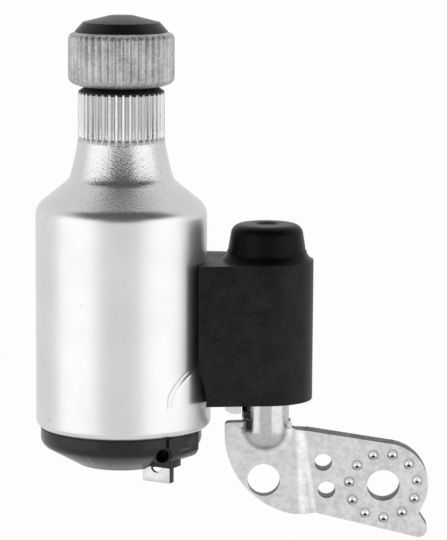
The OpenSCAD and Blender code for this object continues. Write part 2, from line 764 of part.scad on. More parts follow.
module latch_slot() translate([-latch_out - loose_gap, -latch_w / 2 - loose_gap, housing_z - cut])
    cube([latch_t + 2 * loose_gap, latch_w + 2 * loose_gap, flange_z - housing_z + 2 * cut]);

// Slot in the chamber wall for the upper tang of the hinge spring, open towards the well
module tang_slot() translate([0, -hinge_wire / 2 - loose_gap, tang_high - hinge_wire / 2 - loose_gap])
    cube([tang_end + loose_gap, hinge_wire + 2 * loose_gap, well_z - tang_high + hinge_wire]);

module screw_places() for (z = screw_levels) translate([bore_r - hinge_to_axis, 0, z]) rotate([0, 90, 0]) children();

module housing_screw_holes() screw_places() {
    cylinder(r = screw_r, h = screw_reach + 0.2);
    translate([0, 0, -head_h]) cylinder(r = head_r + 0.05, h = head_h);
}

module housing_screws() color("gainsboro") at_hinge() screw_places() {
    cylinder(r = screw_r, h = screw_reach);
    translate([0, 0, -head_h]) cylinder(r1 = head_r - 0.5, r2 = head_r, h = head_h);
}

module hinge_bush() color("peru") at_hinge() translate([0, 0, bush_z])
    ring(chamber_r, spindle_r + run_gap, bush_h);

// The lower tang runs into a hole in the spindle and the upper one into the housing's slot
module hinge_spring() color("dimgray") at_hinge() {
    turns = coil(hinge_coil_r, tang_low, tang_high, hinge_turns);
    wire(concat(
        [[tang_start, 0, tang_low], [hinge_coil_r - 1.2, 0, tang_low], [hinge_coil_r - 0.45, 0.35, tang_low]],
        [for (i = [1:len(turns) - 2]) turns[i]],
        [[hinge_coil_r + 0.35, -0.35, tang_high], [hinge_coil_r + 1.2, 0, tang_high], [tang_end, 0, tang_high]]
    ), hinge_wire);
}

module spindle_washer() color("silver") at_hinge() translate([0, 0, well_z])
    ring(chamber_r - 1, spindle_r, washer_t);

module spindle_circlip() color("dimgray") at_hinge() translate([0, 0, ring_z])
    circlip(spindle_r + 1.4, groove_r, clip_ring_t);

module button_spring() color("silver") at_hinge()
    wire(coil(button_coil_r, well_z + button_wire / 2 + 0.05, seat_z - button_wire / 2 - 0.05, button_turns),
        button_wire);

module button_collar() color("#151516") at_hinge() difference() {
    rotate_extrude() polygon([
        [0, collar_low_z], [collar_r - 0.02, collar_low_z], [collar_r - 0.02, housing_top],
        [housing_r - 0.3, housing_top], [housing_r - 1, housing_top + collar_h * 0.72],
        [button_r + 0.5, housing_top + collar_h], [0, housing_top + collar_h]
    ]);
    translate([0, 0, collar_low_z - cut]) cylinder(r = button_r + slide_gap, h = collar_seat + collar_h + 2 * cut);
}

module release_button() color("#151516") at_hinge() difference() {
    rotate_extrude() polygon(concat(
        [[0, flange_z], [flange_r, flange_z], [flange_r, flange_top], [button_r, flange_top]],
        [[button_r, housing_top + collar_h + 0.4]],
        arc([button_top_r - face_round, button_top - face_round - 0.6], face_round, 10, 70, 5),
        [[button_top_r * 0.55, button_top - 0.15], [0, button_top]]
    ));
    translate([0, 0, flange_z - cut]) cylinder(r = hollow_r, h = seat_z - flange_z + cut - 1.2);
    cylinder(r = seat_r + 1.3, h = seat_z);
    translate([0, 0, button_top - 0.5]) cylinder(d = 4.75, h = cut);
}

// The latch plate hangs from the button's flange and shows its nose beside the post
module latch_plate() color("silver") at_hinge() {
    translate([-latch_out, -latch_w / 2, nose_low + 0.8])
        cube([latch_t, latch_w, flange_z - nose_low - 0.8]);
    rotate([90, 0, 0]) translate([0, 0, -latch_w / 2]) linear_extrude(latch_w) polygon([
        [-latch_out, nose_top], [-latch_out, nose_low + 0.8], [-latch_out + 1, nose_low + 0.2],
        [-latch_out + 2, nose_low], [-nose_in, nose_low], [-nose_in, nose_top]
    ]);
}

// Turned bar: a round-ended post that saddles the plate, with a thinner spindle on top
module hinge_post() color("lightgray") at_hinge() difference() {
    union() {
        translate([0, 0, dome_z]) sphere(r = post_r);
        translate([0, 0, dome_z]) cylinder(r = post_r, h = post_top - dome_z);
        difference() {
            cylinder(r = spindle_r, h = spindle_top - 0.5);
            translate([0, 0, ring_z]) ring(spindle_r + cut, groove_r, clip_ring_t);
        }
        translate([0, 0, spindle_top - 0.5]) cylinder(r1 = spindle_r, r2 = spindle_r - 0.5, h = 0.5);
    }
    translate(-hinge_at) lobe();
    translate([tang_start - 0.2, 0, tang_low]) rotate([0, 90, 0])
        cylinder(r = hinge_wire / 2 + loose_gap, h = spindle_r);
}

module thrust_washer() color("gold") at_hinge() translate([0, 0, post_top])
    ring(post_r - 0.2, spindle_r, thrust_t);

module weld_beads() color("gray") at_hinge() difference() {
    for (s = [0, 1]) mirror([0, s, 0]) translate([0, -plate_t / 2, dome_z]) rotate([90, 0, 0])
        rotate_extrude(angle = 180, start = 180) polygon([
            [post_r - 0.8, 0], [post_r + bead_w, 0], [post_r + bead_w * 0.4, 0.4],
            [post_r, bead_h * 0.55], [post_r - 0.8, bead_h]
        ]);
    translate([0, 0, dome_z]) sphere(r = post_r);
}

// Flat lobe that carries the post, standing on the hinge's own plane
module lobe() translate([0, -joggle, 0]) rotate([90, 0, 0]) difference() {
    linear_extrude(plate_t, center = true) polygon(concat(
        arc([lobe_c[0] - sqrt(lobe_r ^ 2 - corner_drop ^ 2) + lobe_corner, lobe_top - lobe_corner],
            lobe_corner, 90, 180, 4),
        arc(lobe_c, lobe_r, side_start, side_end, 26),
        [bend_low, bend_top, [ear_at[0] + 0.15, ear_at[1] - 0.9], ear_at]
    ));
    translate(spare_at) cylinder(d = spare_d, h = plate_t + 2 * cut, center = true);
}

// Place on the bolted end's plane, from x and the distance up that plane
function on_end(p) = [p[0], -p[1] * sin(end_lean), p[1] * cos(end_lean)];

// The joggle between the two planes, lofted so that the sheet keeps its thickness.
// Its first and last steps are tongues that run into the two flat parts.
module joggle_web() {
    left = [[bend_top[0], -joggle, bend_top[1]], [bend_low[0], -joggle, bend_low[1]]];
    right = [on_end(arm_top), on_end(arm_low)];
    across = concat([-tongue, 0.02], [for (i = [1:loft_across - 1]) i / loft_across], [0.98, 1 + tongue]);
    cols = len(across);
    sheet = (loft_down + 1) * cols;
    function ease(u) = u < 0.05 ? 0 : u > 0.95 ? 1 : u * u * (3 - 2 * u);
    function web_point(u, v, side) =
        let (
            w = tongue_edge + v * (1 - 2 * tongue_edge),
            l = left[0] + w * (left[1] - left[0]),
            run = right[0] + w * (right[1] - right[0]) - l,
            bend = ease(u),
            steep = u < 0.05 || u > 0.95 ? 0 : 6 * u * (1 - u) * run[1] / run[0],
            half = (plate_t / 2 - 0.02) * sqrt(1 + steep ^ 2),
            lean = end_lean * max(0, min(1, u)),
            slope = u > 0.95 ? end_lean : lean
        )
        [l[0] + run[0] * u, l[1] + run[1] * bend, l[2] + run[2] * u] + side * half * [0, cos(slope), sin(slope)];
    points = [for (side = [-1, 1], j = [0:loft_down], u = across) web_point(u, j / loft_down, side)];
    function quad(a, b, c, d) = [[a, b, c], [a, c, d]];
    faces = concat(
        [for (j = [0:loft_down - 1], i = [0:cols - 2]) let (a = j * cols + i)
            each quad(a, a + 1, a + cols + 1, a + cols)],
        [for (j = [0:loft_down - 1], i = [0:cols - 2]) let (a = sheet + j * cols + i)
            each quad(a, a + cols, a + cols + 1, a + 1)],
        [for (i = [0:cols - 2]) each quad(i, i + sheet, i + sheet + 1, i + 1)],
        [for (i = [0:cols - 2]) let (a = loft_down * cols + i)
            each quad(a, a + 1, a + 1 + sheet, a + sheet)],
        [for (j = [0:loft_down - 1]) let (a = j * cols) each quad(a, a + cols, a + cols + sheet, a + sheet)],
        [for (j = [0:loft_down - 1]) let (a = j * cols + cols - 1)
            each quad(a, a + sheet, a + cols + sheet, a + cols)]
    );
    polyhedron(points, faces, convexity = 4);
}

// Bolted end: a round end with a notch and a finger, drilled and dimpled
module bolted_end() rotate([90 + end_lean, 0, 0]) {
    difference() {
        union() {
            cylinder(r = end_r, h = plate_t, center = true);
            linear_extrude(plate_t, center = true) polygon([
                arm_top, tangent(arm_top, [0, 0], end_r - bite, 1), [0, 0],
                tangent(notch_at, [0, 0], end_r - bite, -1), notch_at,
                tangent(notch_at, finger_c, finger_r - bite, 1), finger_c,
                tangent(arm_low, finger_c, finger_r - bite, -1), arm_low
            ]);
            translate(finger_c) cylinder(r = finger_r, h = plate_t, center = true);
        }
        cylinder(d = bolt_d, h = plate_t + 2 * cut, center = true);
        for (p = small_at) translate(p) cylinder(d = small_d, h = plate_t + 2 * cut, center = true);
        dimples() translate([0, 0, plate_t / 2 + dimple_r - dimple_depth]) sphere(r = dimple_r, $fn = 32);
    }
    dimples() translate([0, 0, -plate_t / 2 - tooth_h])
        cylinder(r1 = 0.35, r2 = dimple_r + 0.3, h = tooth_h + 0.3, $fn = 32);
}

module dimples() for (i = [0:dimple_count - 1])
    rotate(dimple_phase + i * 360 / dimple_count) translate([dimple_ring_d / 2, 0, 0]) children();

module bracket_plate() color("silver") {
    lobe();
    joggle_web();
    bolted_end();
}

bracket_plate();
hinge_post();
weld_beads();
thrust_washer();
spindle_washer();
spindle_circlip();
casing();
base_cap();
base_gasket();
thrust_pad();
lower_bearing();
upper_bearing();
neck_seal();
yoke_ring();
upper_claws();
lower_claws();
bobbin();
winding();
terminal_contact();
terminal_spring();
hinge_housing();
housing_screws();
hinge_bush();
button_collar();
hinge_spring();
button_spring();
rotor_shaft();
magnet_hub();
rotor_magnet();
shaft_circlip();
drive_roller();
lock_washer();
roller_nut();
roller_cap();
release_button();
latch_plate();
terminal_clip();
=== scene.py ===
"""Dresses a bottle dynamo on its hinged bracket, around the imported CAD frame.

The casing, roller, caps, button, springs and welds are new meshes in the places that the frame gives.
The other CAD nodes are copies with rounded edges, or stay as they are where hardly anything of them shows.
Sub-assemblies are sized in millimetres, with heights above the casing's lower edge. A finished mesh is
moved to metres in the frame, and finishes and the studio are in metres.
"""
import logging
from collections.abc import Callable
from dataclasses import dataclass, field
from enum import Enum
from math import asin, cos, pi, radians, sin, sqrt, tau

import bmesh
import bpy
from mathutils import Matrix, Vector

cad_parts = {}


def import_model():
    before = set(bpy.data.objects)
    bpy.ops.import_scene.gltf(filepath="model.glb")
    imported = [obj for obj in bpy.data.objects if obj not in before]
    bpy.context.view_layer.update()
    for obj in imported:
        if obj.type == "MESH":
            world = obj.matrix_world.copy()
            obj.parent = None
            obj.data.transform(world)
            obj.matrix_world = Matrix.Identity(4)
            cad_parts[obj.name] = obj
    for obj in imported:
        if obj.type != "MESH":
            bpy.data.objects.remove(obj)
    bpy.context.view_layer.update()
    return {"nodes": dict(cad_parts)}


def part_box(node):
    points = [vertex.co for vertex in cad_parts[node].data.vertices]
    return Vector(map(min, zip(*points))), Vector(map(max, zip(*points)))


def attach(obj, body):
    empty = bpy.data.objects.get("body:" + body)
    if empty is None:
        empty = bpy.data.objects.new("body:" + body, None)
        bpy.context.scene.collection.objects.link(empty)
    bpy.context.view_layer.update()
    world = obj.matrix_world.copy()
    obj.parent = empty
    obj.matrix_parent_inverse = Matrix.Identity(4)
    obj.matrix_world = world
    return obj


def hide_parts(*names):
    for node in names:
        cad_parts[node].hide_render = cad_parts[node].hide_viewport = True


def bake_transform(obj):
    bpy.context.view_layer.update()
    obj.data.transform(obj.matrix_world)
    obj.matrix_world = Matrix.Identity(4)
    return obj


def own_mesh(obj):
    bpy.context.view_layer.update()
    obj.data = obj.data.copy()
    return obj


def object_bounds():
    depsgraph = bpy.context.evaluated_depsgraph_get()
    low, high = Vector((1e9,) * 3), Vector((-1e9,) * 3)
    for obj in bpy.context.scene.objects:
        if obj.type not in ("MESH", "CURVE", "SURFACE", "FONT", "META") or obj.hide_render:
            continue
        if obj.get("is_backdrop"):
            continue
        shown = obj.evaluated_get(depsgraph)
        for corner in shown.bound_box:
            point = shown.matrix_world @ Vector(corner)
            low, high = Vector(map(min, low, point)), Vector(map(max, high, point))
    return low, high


Pair = tuple[float, float]
Corners = tuple[Pair, ...]
Colour = tuple[float, float, float, float]

LOG = logging.getLogger("dynamo")
MM = 0.001
COAT_ROUGHNESS = 0.15

# Reaches in millimetres and bends in degrees
NEAR = 0.01
SAME_CORNER = 0.002
CAD_SAME_CORNER = 0.03
CAD_SLIVER = 0.004
CAD_FLAT = 1.0
CAD_SHARP = 35.0


class Body(Enum):
    """The bodies that the pieces ride on."""

    BRACKET = "bracket"
    DYNAMO = "dynamo"
    ROTOR = "rotor"
    BUTTON = "button"
    CLIP = "clip"


# Node graphs


class Wire:
    """One output socket of a material, on which Python's arithmetic adds Math nodes."""

    def __init__(self, graph: "Graph", socket: bpy.types.NodeSocket) -> None:
        """Wraps an output socket of a graph."""
        self.graph = graph
        self.socket = socket

    def _math(self, operation: str, first: "Wire | float", second: "Wire | float") -> "Wire":
        """Adds a Math node that works on two values."""
        return self.graph.node("ShaderNodeMath", {"operation": operation}, {0: first, 1: second})

    def __add__(self, other: "Wire | float") -> "Wire":
        """Sum."""
        return self._math("ADD", self, other)

    __radd__ = __add__

    def __mul__(self, other: "Wire | float") -> "Wire":
        """Product."""
        return self._math("MULTIPLY", self, other)

    __rmul__ = __mul__

    def __sub__(self, other: "Wire | float") -> "Wire":
        """Difference."""
        return self._math("SUBTRACT", self, other)

    def __rsub__(self, other: "Wire | float") -> "Wire":
        """Difference from a plain number."""
        return self._math("SUBTRACT", other, self)

    def __truediv__(self, other: "Wire | float") -> "Wire":
        """Quotient."""
        return self._math("DIVIDE", self, other)


class Graph:
    """The node tree of one material or of the world."""

    def __init__(self, tree: bpy.types.NodeTree) -> None:
        """Empties the tree.

        Args:
            tree: The node tree to fill.
        """
        self.tree = tree
        tree.nodes.clear()

    def add(self, kind: str, settings: dict | None = None, inputs: dict | None = None) -> bpy.types.Node:
        """Adds a node.

        Args:
            kind: The node's type name.
            settings: Its own settings, set before its sockets.
            inputs: Values or wires by socket name or number.

        Returns:
            The node.
        """
        made = self.tree.nodes.new(kind)
        for name, value in (settings or {}).items():
            setattr(made, name, value)
        for name, value in (inputs or {}).items():
            if isinstance(value, Wire):
                self.tree.links.new(value.socket, made.inputs[name])
            else:
                made.inputs[name].default_value = value
        return made

    def node(self, kind: str, settings: dict | None = None, inputs: dict | None = None,
             output: int | str = 0) -> Wire:
        """Adds a node as add does and gives one of its outputs, by number or name."""
        return Wire(self, self.add(kind, settings, inputs).outputs[output])

    def object_place(self) -> Wire:
        """The point being shaded, in the object's own coordinates."""
        return self.node("ShaderNodeTexCoord", output="Object")

    def along(self, axis: int, place: Wire | None = None) -> Wire:
        """One coordinate, 0 to 2, of the point being shaded or of another."""
        return self.node("ShaderNodeSeparateXYZ", None, {0: place or self.object_place()}, output=axis)

    def noise(self, scale: float, detail: float = 3.0, roughness: float = 0.55,
              stretch: tuple[float, float, float] = (1.0, 1.0, 1.0)) -> Wire:
        """Fractal noise from 0 to 1, with scale in features per metre and detail in octaves."""
        place = self.node("ShaderNodeMapping", None, {"Vector": self.object_place(), "Scale": stretch})
        return self.node("ShaderNodeTexNoise", None, {
            "Vector": place, "Scale": scale, "Detail": detail, "Roughness": roughness})

    def blend(self, share: Wire | float, first: tuple | Wire, second: tuple | Wire) -> Wire:
        """Mixes two colours, with share for how much of the second."""
        return self.node("ShaderNodeMix", {"data_type": "RGBA"}, {0: share, 6: first, 7: second}, output=2)

    def ramp(self, value: Wire, low: float, high: float) -> Wire:
        """A soft step from 0 at low to 1 at high."""
        return self.node("ShaderNodeMapRange", {"interpolation_type": "SMOOTHSTEP"},
                         {"Value": value, "From Min": low, "From Max": high})

    def band(self, value: Wire, rise: Pair, fall: Pair) -> Wire:
        """A mask that rises softly over one stretch and falls softly over a later one."""
        return self.ramp(value, *rise) * (1.0 - self.ramp(value, *fall))


def grey(value: float, warmth: float = 0.0) -> Colour:
    """A grey, with a share of warmth added to its red and taken from its blue."""
    return (value * (1 + warmth), value, value * (1 - warmth), 1.0)


# Finishes


@dataclass(frozen=True)
class Finish:
    """A surface finish: a colour that varies, a roughness that varies and a fine bump."""

    name: str
    colour: Colour
    dark: Colour
    metallic: float = 0.0
    roughness: Pair = (0.4, 0.5)
    mottle: float = 180.0
    grain: float = 2200.0
    grain_depth: float = 0.02
    spread: Pair = (0.3, 0.72)
    stretch: tuple[float, float, float] = (1.0, 1.0, 1.0)
    coat: float = 0.0
    gloss: float = 0.5
    brushed: float = 0.0
    slot: str = ""

    def material(self) -> bpy.types.Material:
        """Makes the material once and gives it again when asked.

        Returns:
            The material.
        """
        name = "finish_" + self.name
        found = bpy.data.materials.get(name)
        if found:
            return found
        made = bpy.data.materials.new(name)
        made.use_nodes = True
        self._fill(Graph(made.node_tree))
        return made

    def _fill(self, graph: Graph) -> None:
        """Builds the node tree.

        Args:
            graph: The material's graph.
        """
        cloud = graph.noise(self.mottle, 4.0, 0.6, self.stretch)
        fine = graph.noise(self.grain, 2.0, 0.5, self.stretch)
        self._surface(graph, self._tone(graph, cloud), self._rough((cloud + fine) / 2.0), fine)

    def _tone(self, graph: Graph, cloud: Wire) -> Wire:
        """The finish's own colour, from dark to light with a cloud."""
        return graph.blend(graph.ramp(cloud, *self.spread), self.dark, self.colour)

    def _rough(self, share: Wire) -> Wire:
        """The finish's own roughness, from its least to its most with share."""
        return share * (self.roughness[1] - self.roughness[0]) + self.roughness[0]

    def _surface(self, graph: Graph, colour: Wire, rough: Wire, height: Wire) -> None:
        """Adds the shader and the output.

        Args:
            graph: The material's graph.
            colour: Base colour.
            rough: Roughness.
            height: What the bump follows, as a share of the grain's depth.
        """
        normal = graph.node("ShaderNodeBump", None, {"Height": height, "Distance": self.grain_depth * MM})
        shader = graph.node("ShaderNodeBsdfPrincipled", None, {
            "Base Color": colour, "Roughness": rough, "Normal": normal, "Metallic": self.metallic,
            "Coat Weight": self.coat, "Coat Roughness": COAT_ROUGHNESS, "Specular IOR Level": self.gloss,
            "Anisotropic": self.brushed})
        graph.add("ShaderNodeOutputMaterial", None, {"Surface": shader})


@dataclass(frozen=True)
class DrawnAluminium(Finish):
    """Drawn aluminium: faint lengthwise lines, a grainy shoulder and neck with painted shade on them, and
    painted shade in the grooves.
    """

    mottle: float = 90.0
    spread: Pair = (0.3, 0.7)
    shoulder_z: float = 0.0625
    neck_z: float = 0.078
    axis: Pair = (-0.059, -0.00264)
    groove_radius: float = 0.0093
    line_scale: float = 1500.0
    line_depth: float = 0.12
    pit_scale: float = 620.0
    pit_limits: Pair = (0.24, 0.3)
    pitting: float = 0.3
    speck_limits: Pair = (0.56, 0.7)
    speck_shares: Pair = (0.4, 0.5)
    speck_depths: tuple[float, float, float] = (2.0, 1.5, 0.08)
    upper_painted_shade: float = 0.2
    groove_painted_shade: float = 0.4
    shoulder_shine: float = 0.07
    end_dulling: float = 0.4

    def _fill(self, graph: Graph) -> None:
        """Builds the node tree.

        Args:
            graph: The material's graph.
        """
        height = graph.along(2)
        neck = graph.ramp(height, self.neck_z, self.neck_z + 0.004)
        shoulder = graph.ramp(height, self.shoulder_z - 0.001, self.shoulder_z + 0.003) * (1.0 - neck)
        flute_ends = graph.band(height, (self.neck_z - 0.0005, self.neck_z - 0.0003),
                                (self.neck_z + 0.0003, self.neck_z + 0.001))
        centred = graph.node("ShaderNodeMapping", None, {
            "Vector": graph.object_place(), "Location": (-self.axis[0], -self.axis[1], 0.0),
            "Scale": (1.0, 1.0, 0.0)})
        away = graph.node("ShaderNodeVectorMath", {"operation": "LENGTH"}, {0: centred}, output="Value")
        # Painted shade: the grooves between the flutes, close to the axis, are blended darker as shade in the
        # recesses.
        grooves = neck * (1.0 - graph.ramp(away, self.groove_radius - 0.0002, self.groove_radius + 0.0003))
        lines = graph.noise(self.line_scale, 3.0, 0.6, (1.0, 1.0, 0.02))
        specks = graph.noise(self.grain, 2.0, 0.6)
        pits = 1.0 - graph.ramp(graph.noise(self.pit_scale, 2.0, 0.6), *self.pit_limits)
        dark_specks = shoulder * self.speck_shares[0] + neck * self.speck_shares[1]
        dark_specks = dark_specks * graph.ramp(specks, *self.speck_limits)
        tone = self._tone(graph, graph.noise(self.mottle, 4.0, 0.6))
        # Painted shade: the shoulder and neck are blended towards a mid grey, darker because of how light
        # falls on these upward faces.
        for share, shade in ((dark_specks, 0.3), ((neck + shoulder) * self.upper_painted_shade, 0.45),
                             (grooves * self.groove_painted_shade, 0.16), (pits * self.pitting, 0.3)):
            tone = graph.blend(share, tone, grey(shade))
        rough = self._rough(lines) - shoulder * self.shoulder_shine + flute_ends * self.end_dulling
        on_shoulder, on_neck, on_side = self.speck_depths
        relief = lines * self.line_depth + specks * (shoulder * on_shoulder + neck * on_neck + on_side)
        self._surface(graph, tone, rough, relief)


@dataclass(frozen=True)
class OiledSteel(Finish):
    """Turned steel with a painted dark reflection of the latch's shaded inner face on the side next to the
    latch, and a foot dulled by welding.
    """

    mottle: float = 900.0
    spread: Pair = (0.35, 0.7)
    latch_reflection_x: float = -0.0299
    latch_reflection_z: float = 0.0158
    latch_reflection_wander: Pair = (0.0022, 0.0015)
    latch_reflection_limits: Pair = (0.3, 0.45)
    latch_reflection_tone: float = 0.035
    latch_reflection_dulling: float = 0.15
    weld_z: float = 0.0125
    weld_reach: float = 0.002
    weld_dulling: float = 0.24

    def _fill(self, graph: Graph) -> None:
        """Builds the node tree.

        Args:
            graph: The material's graph.
        """
        across, height = graph.along(0), graph.along(2)
        rings = graph.noise(self.mottle, 3.0, 0.6, (0.05, 0.05, 1.0))
        blots = graph.noise(self.mottle, 4.0, 0.65)
        beside = across + (blots - 0.5) * self.latch_reflection_wander[0]
        above = height + (blots - 0.5) * self.latch_reflection_wander[1]
        # Painted reflection: a dark patch on the post's side next to the latch, above a height, stands in for
        # the reflection of the latch's shaded inner face.
        latch_reflection_mask = 1.0 - graph.ramp(beside, self.latch_reflection_x - 0.0003, self.latch_reflection_x + 0.0002)
        latch_reflection_mask = latch_reflection_mask * graph.ramp(above, self.latch_reflection_z - 0.0002, self.latch_reflection_z + 0.0003)
        latch_reflection_share = latch_reflection_mask * graph.ramp(blots, *self.latch_reflection_limits)
        tone = graph.blend(latch_reflection_share, self._tone(graph, blots), grey(self.latch_reflection_tone))
        heated = 1.0 - graph.ramp(height, self.weld_z - self.weld_reach, self.weld_z + self.weld_reach)
        rough = self._rough(rings) + latch_reflection_mask * self.latch_reflection_dulling + heated * self.weld_dulling
        self._surface(graph, tone, rough, (rings + blots) / 2.0)


@dataclass(frozen=True)
class PressedSteel(Finish):
    """Zinc-plated pressed steel: cloudy, with tumbling nicks that catch the light."""

    mottle: float = 220.0
    grain: float = 2400.0
    spread: Pair = (0.36, 0.62)
    speckle: float = 900.0
    nick_cells: float = 620.0
    nick_patches: float = 260.0
    nick_limits: Pair = (0.55, 0.68)
    nick_width: float = 0.05
    nick_share: float = 0.25
    nick_shine: float = 0.08
    nick_depth: float = 0.3

    def _fill(self, graph: Graph) -> None:
        """Builds the node tree.

        Args:
            graph: The material's graph.
        """
        cloud = graph.noise(self.mottle, 5.0, 0.65)
        fine = graph.noise(self.grain, 3.0, 0.6)
        patches = graph.noise(self.speckle, 3.0, 0.65)
        cells = graph.node("ShaderNodeTexVoronoi", {"feature": "DISTANCE_TO_EDGE"},
                           {"Vector": graph.object_place(), "Scale": self.nick_cells})
        nicks = graph.ramp(graph.noise(self.nick_patches, 2.0), *self.nick_limits)
        nicks = nicks * (1.0 - graph.ramp(cells, 0.0, self.nick_width))
        tone = graph.blend(nicks * self.nick_share, self._tone(graph, (cloud + patches) / 2.0), grey(0.85))
        rough = self._rough(cloud) - nicks * self.nick_shine
        self._surface(graph, tone, rough, (cloud + fine) / 2.0 - nicks * self.nick_depth)


@dataclass(frozen=True)
class MouldedPlastic(Finish):
    """Moulded plastic with a spark-eroded grain, faint handling marks and a little dust."""

    spread: Pair = (0.36, 0.62)
    rub_scale: float = 260.0
    rub_limits: Pair = (0.6, 0.72)
    rub_shine: float = 0.06
    dust_scale: float = 1900.0
    dust_limits: Pair = (0.73, 0.77)
    dust_share: float = 0.1

    def _fill(self, graph: Graph) -> None:
        """Builds the node tree.

        Args:
            graph: The material's graph.
        """
        grain = graph.noise(self.grain, 3.0, 0.6)
        cloud = graph.noise(self.mottle, 4.0, 0.6)
        rubs = graph.ramp(graph.noise(self.rub_scale, 5.0, 0.7, (1.0, 1.0, 0.25)), *self.rub_limits)
        dust = graph.ramp(graph.noise(self.dust_scale, 1.0, 0.5), *self.dust_limits)
        tone = graph.blend(dust * self.dust_share, self._tone(graph, (cloud + grain) / 2.0), grey(0.25))
        self._surface(graph, tone, self._rough(grain) - rubs * self.rub_shine, grain)


CASING = DrawnAluminium("casing_aluminium", grey(0.69), grey(0.65), 0.85, (0.28, 0.36), grain_depth=0.03,
                        brushed=0.3)
ROLLER = PressedSteel("roller_zinc", grey(0.56), grey(0.30), 0.9, (0.42, 0.56), grain_depth=0.09,
                      speckle=2400.0)
ZINC = PressedSteel("zinc_steel", grey(0.75), grey(0.59), 0.92, (0.34, 0.50), grain_depth=0.06)
# Rough sheared edges, with a dark colour that is partly painted shade: the bracket's edges and hole walls are
# darkened as shade in the holes and along the edges.
SHEARED_EDGE_SHADE = PressedSteel("sheared_steel_painted_shade", grey(0.20), grey(0.10), 1.0, (0.45, 0.6), grain_depth=0.05)
# Painted shade: a near-black steel for the terminal clip's end face, standing in for the dark reflection that
# it shows.
CLIP_END_SHADE = Finish("clip_end_painted_shade", grey(0.07), grey(0.03), 1.0, (0.3, 0.45))
PUNCHED = Finish("punched_steel", grey(0.78), grey(0.66), 1.0, (0.16, 0.24), grain_depth=0.008)
POST = OiledSteel("post_steel", grey(0.52), grey(0.44), 1.0, (0.14, 0.22), grain_depth=0.006)
BRIGHT = Finish("bright_steel", grey(0.72), grey(0.62), 1.0, (0.22, 0.34), stretch=(1.0, 1.0, 8.0),
                grain_depth=0.008)
CLIP = Finish("clip_steel", grey(0.58), grey(0.46), 1.0, (0.24, 0.36), mottle=320.0, grain_depth=0.012,
              slot="bright_steel")
SPRING = Finish("spring_steel", grey(0.36), grey(0.26), 1.0, (0.28, 0.42))
BRONZE = Finish("bronze", (0.55, 0.38, 0.18, 1.0), (0.42, 0.28, 0.12, 1.0), 1.0, (0.35, 0.5))
BRASS = Finish("contact_brass", (0.75, 0.56, 0.24, 1.0), (0.6, 0.42, 0.16, 1.0), 1.0, (0.28, 0.4))
COPPER = Finish("enamelled_wire", (0.55, 0.2, 0.07, 1.0), (0.4, 0.12, 0.04, 1.0), 0.6, (0.25, 0.4),
                stretch=(1.0, 1.0, 40.0), coat=0.6)
NYLON = Finish("ivory_plastic", grey(0.66, 0.08), grey(0.6, 0.1), 0.0, (0.4, 0.5))
FERRITE = Finish("magnet_ferrite", grey(0.07), grey(0.045), 0.0, (0.5, 0.65), grain_depth=0.04)
RUBBER = MouldedPlastic("seal_rubber", grey(0.010), grey(0.007), 0.0, (0.42, 0.55), gloss=0.25)
BASE = MouldedPlastic("base_plastic", grey(0.014), grey(0.009), 0.0, (0.22, 0.32), grain_depth=0.012,
                      gloss=0.28)
HOUSING = MouldedPlastic("housing_plastic", grey(0.019), grey(0.006), 0.0, (0.38, 0.5), grain=2000.0,
                         grain_depth=0.06, gloss=0.12)
BUTTON = MouldedPlastic("button_plastic", grey(0.003), grey(0.002), 0.0, (0.3, 0.42), gloss=0.09)
CAP = MouldedPlastic("cap_plastic", grey(0.006), grey(0.004), 0.0, (0.28, 0.4), grain_depth=0.012, gloss=0.2)


# The bench, where meshes become pieces


def arc(centre: Pair, radius: float, first: float, last: float, steps: int) -> list[Pair]:
    """The corners of an arc of so many steps, from a first angle to a last one in radians."""
    turns = [first + (last - first) * i / steps for i in range(steps + 1)]
    return [(centre[0] + radius * cos(turn), centre[1] + radius * sin(turn)) for turn in turns]


def held(value: float) -> float:
    """A value held between 0 and 1."""
    return min(1.0, max(0.0, value))


def turns_round(place: Vector) -> float:
    """How far round the upright axis a point is, in turns."""
    return place.xy.angle_signed(Vector((1.0, 0.0)), 0.0) / tau


def middle(node: str, height: float) -> Vector:
    """The middle of a CAD node's box, seen from above, at a height."""
    low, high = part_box(node)
    return Vector(((low.x + high.x) / 2.0, (low.y + high.y) / 2.0, height))


def hang(name: str, data: bpy.types.ID) -> bpy.types.Object:
    """Puts a mesh, lamp or camera in the scene as an object.

    Args:
        name: The object's name.
        data: The mesh, lamp or camera.

    Returns:
        The object.
    """
    made = bpy.data.objects.new(name, data)
    bpy.context.scene.collection.objects.link(made)
    return made


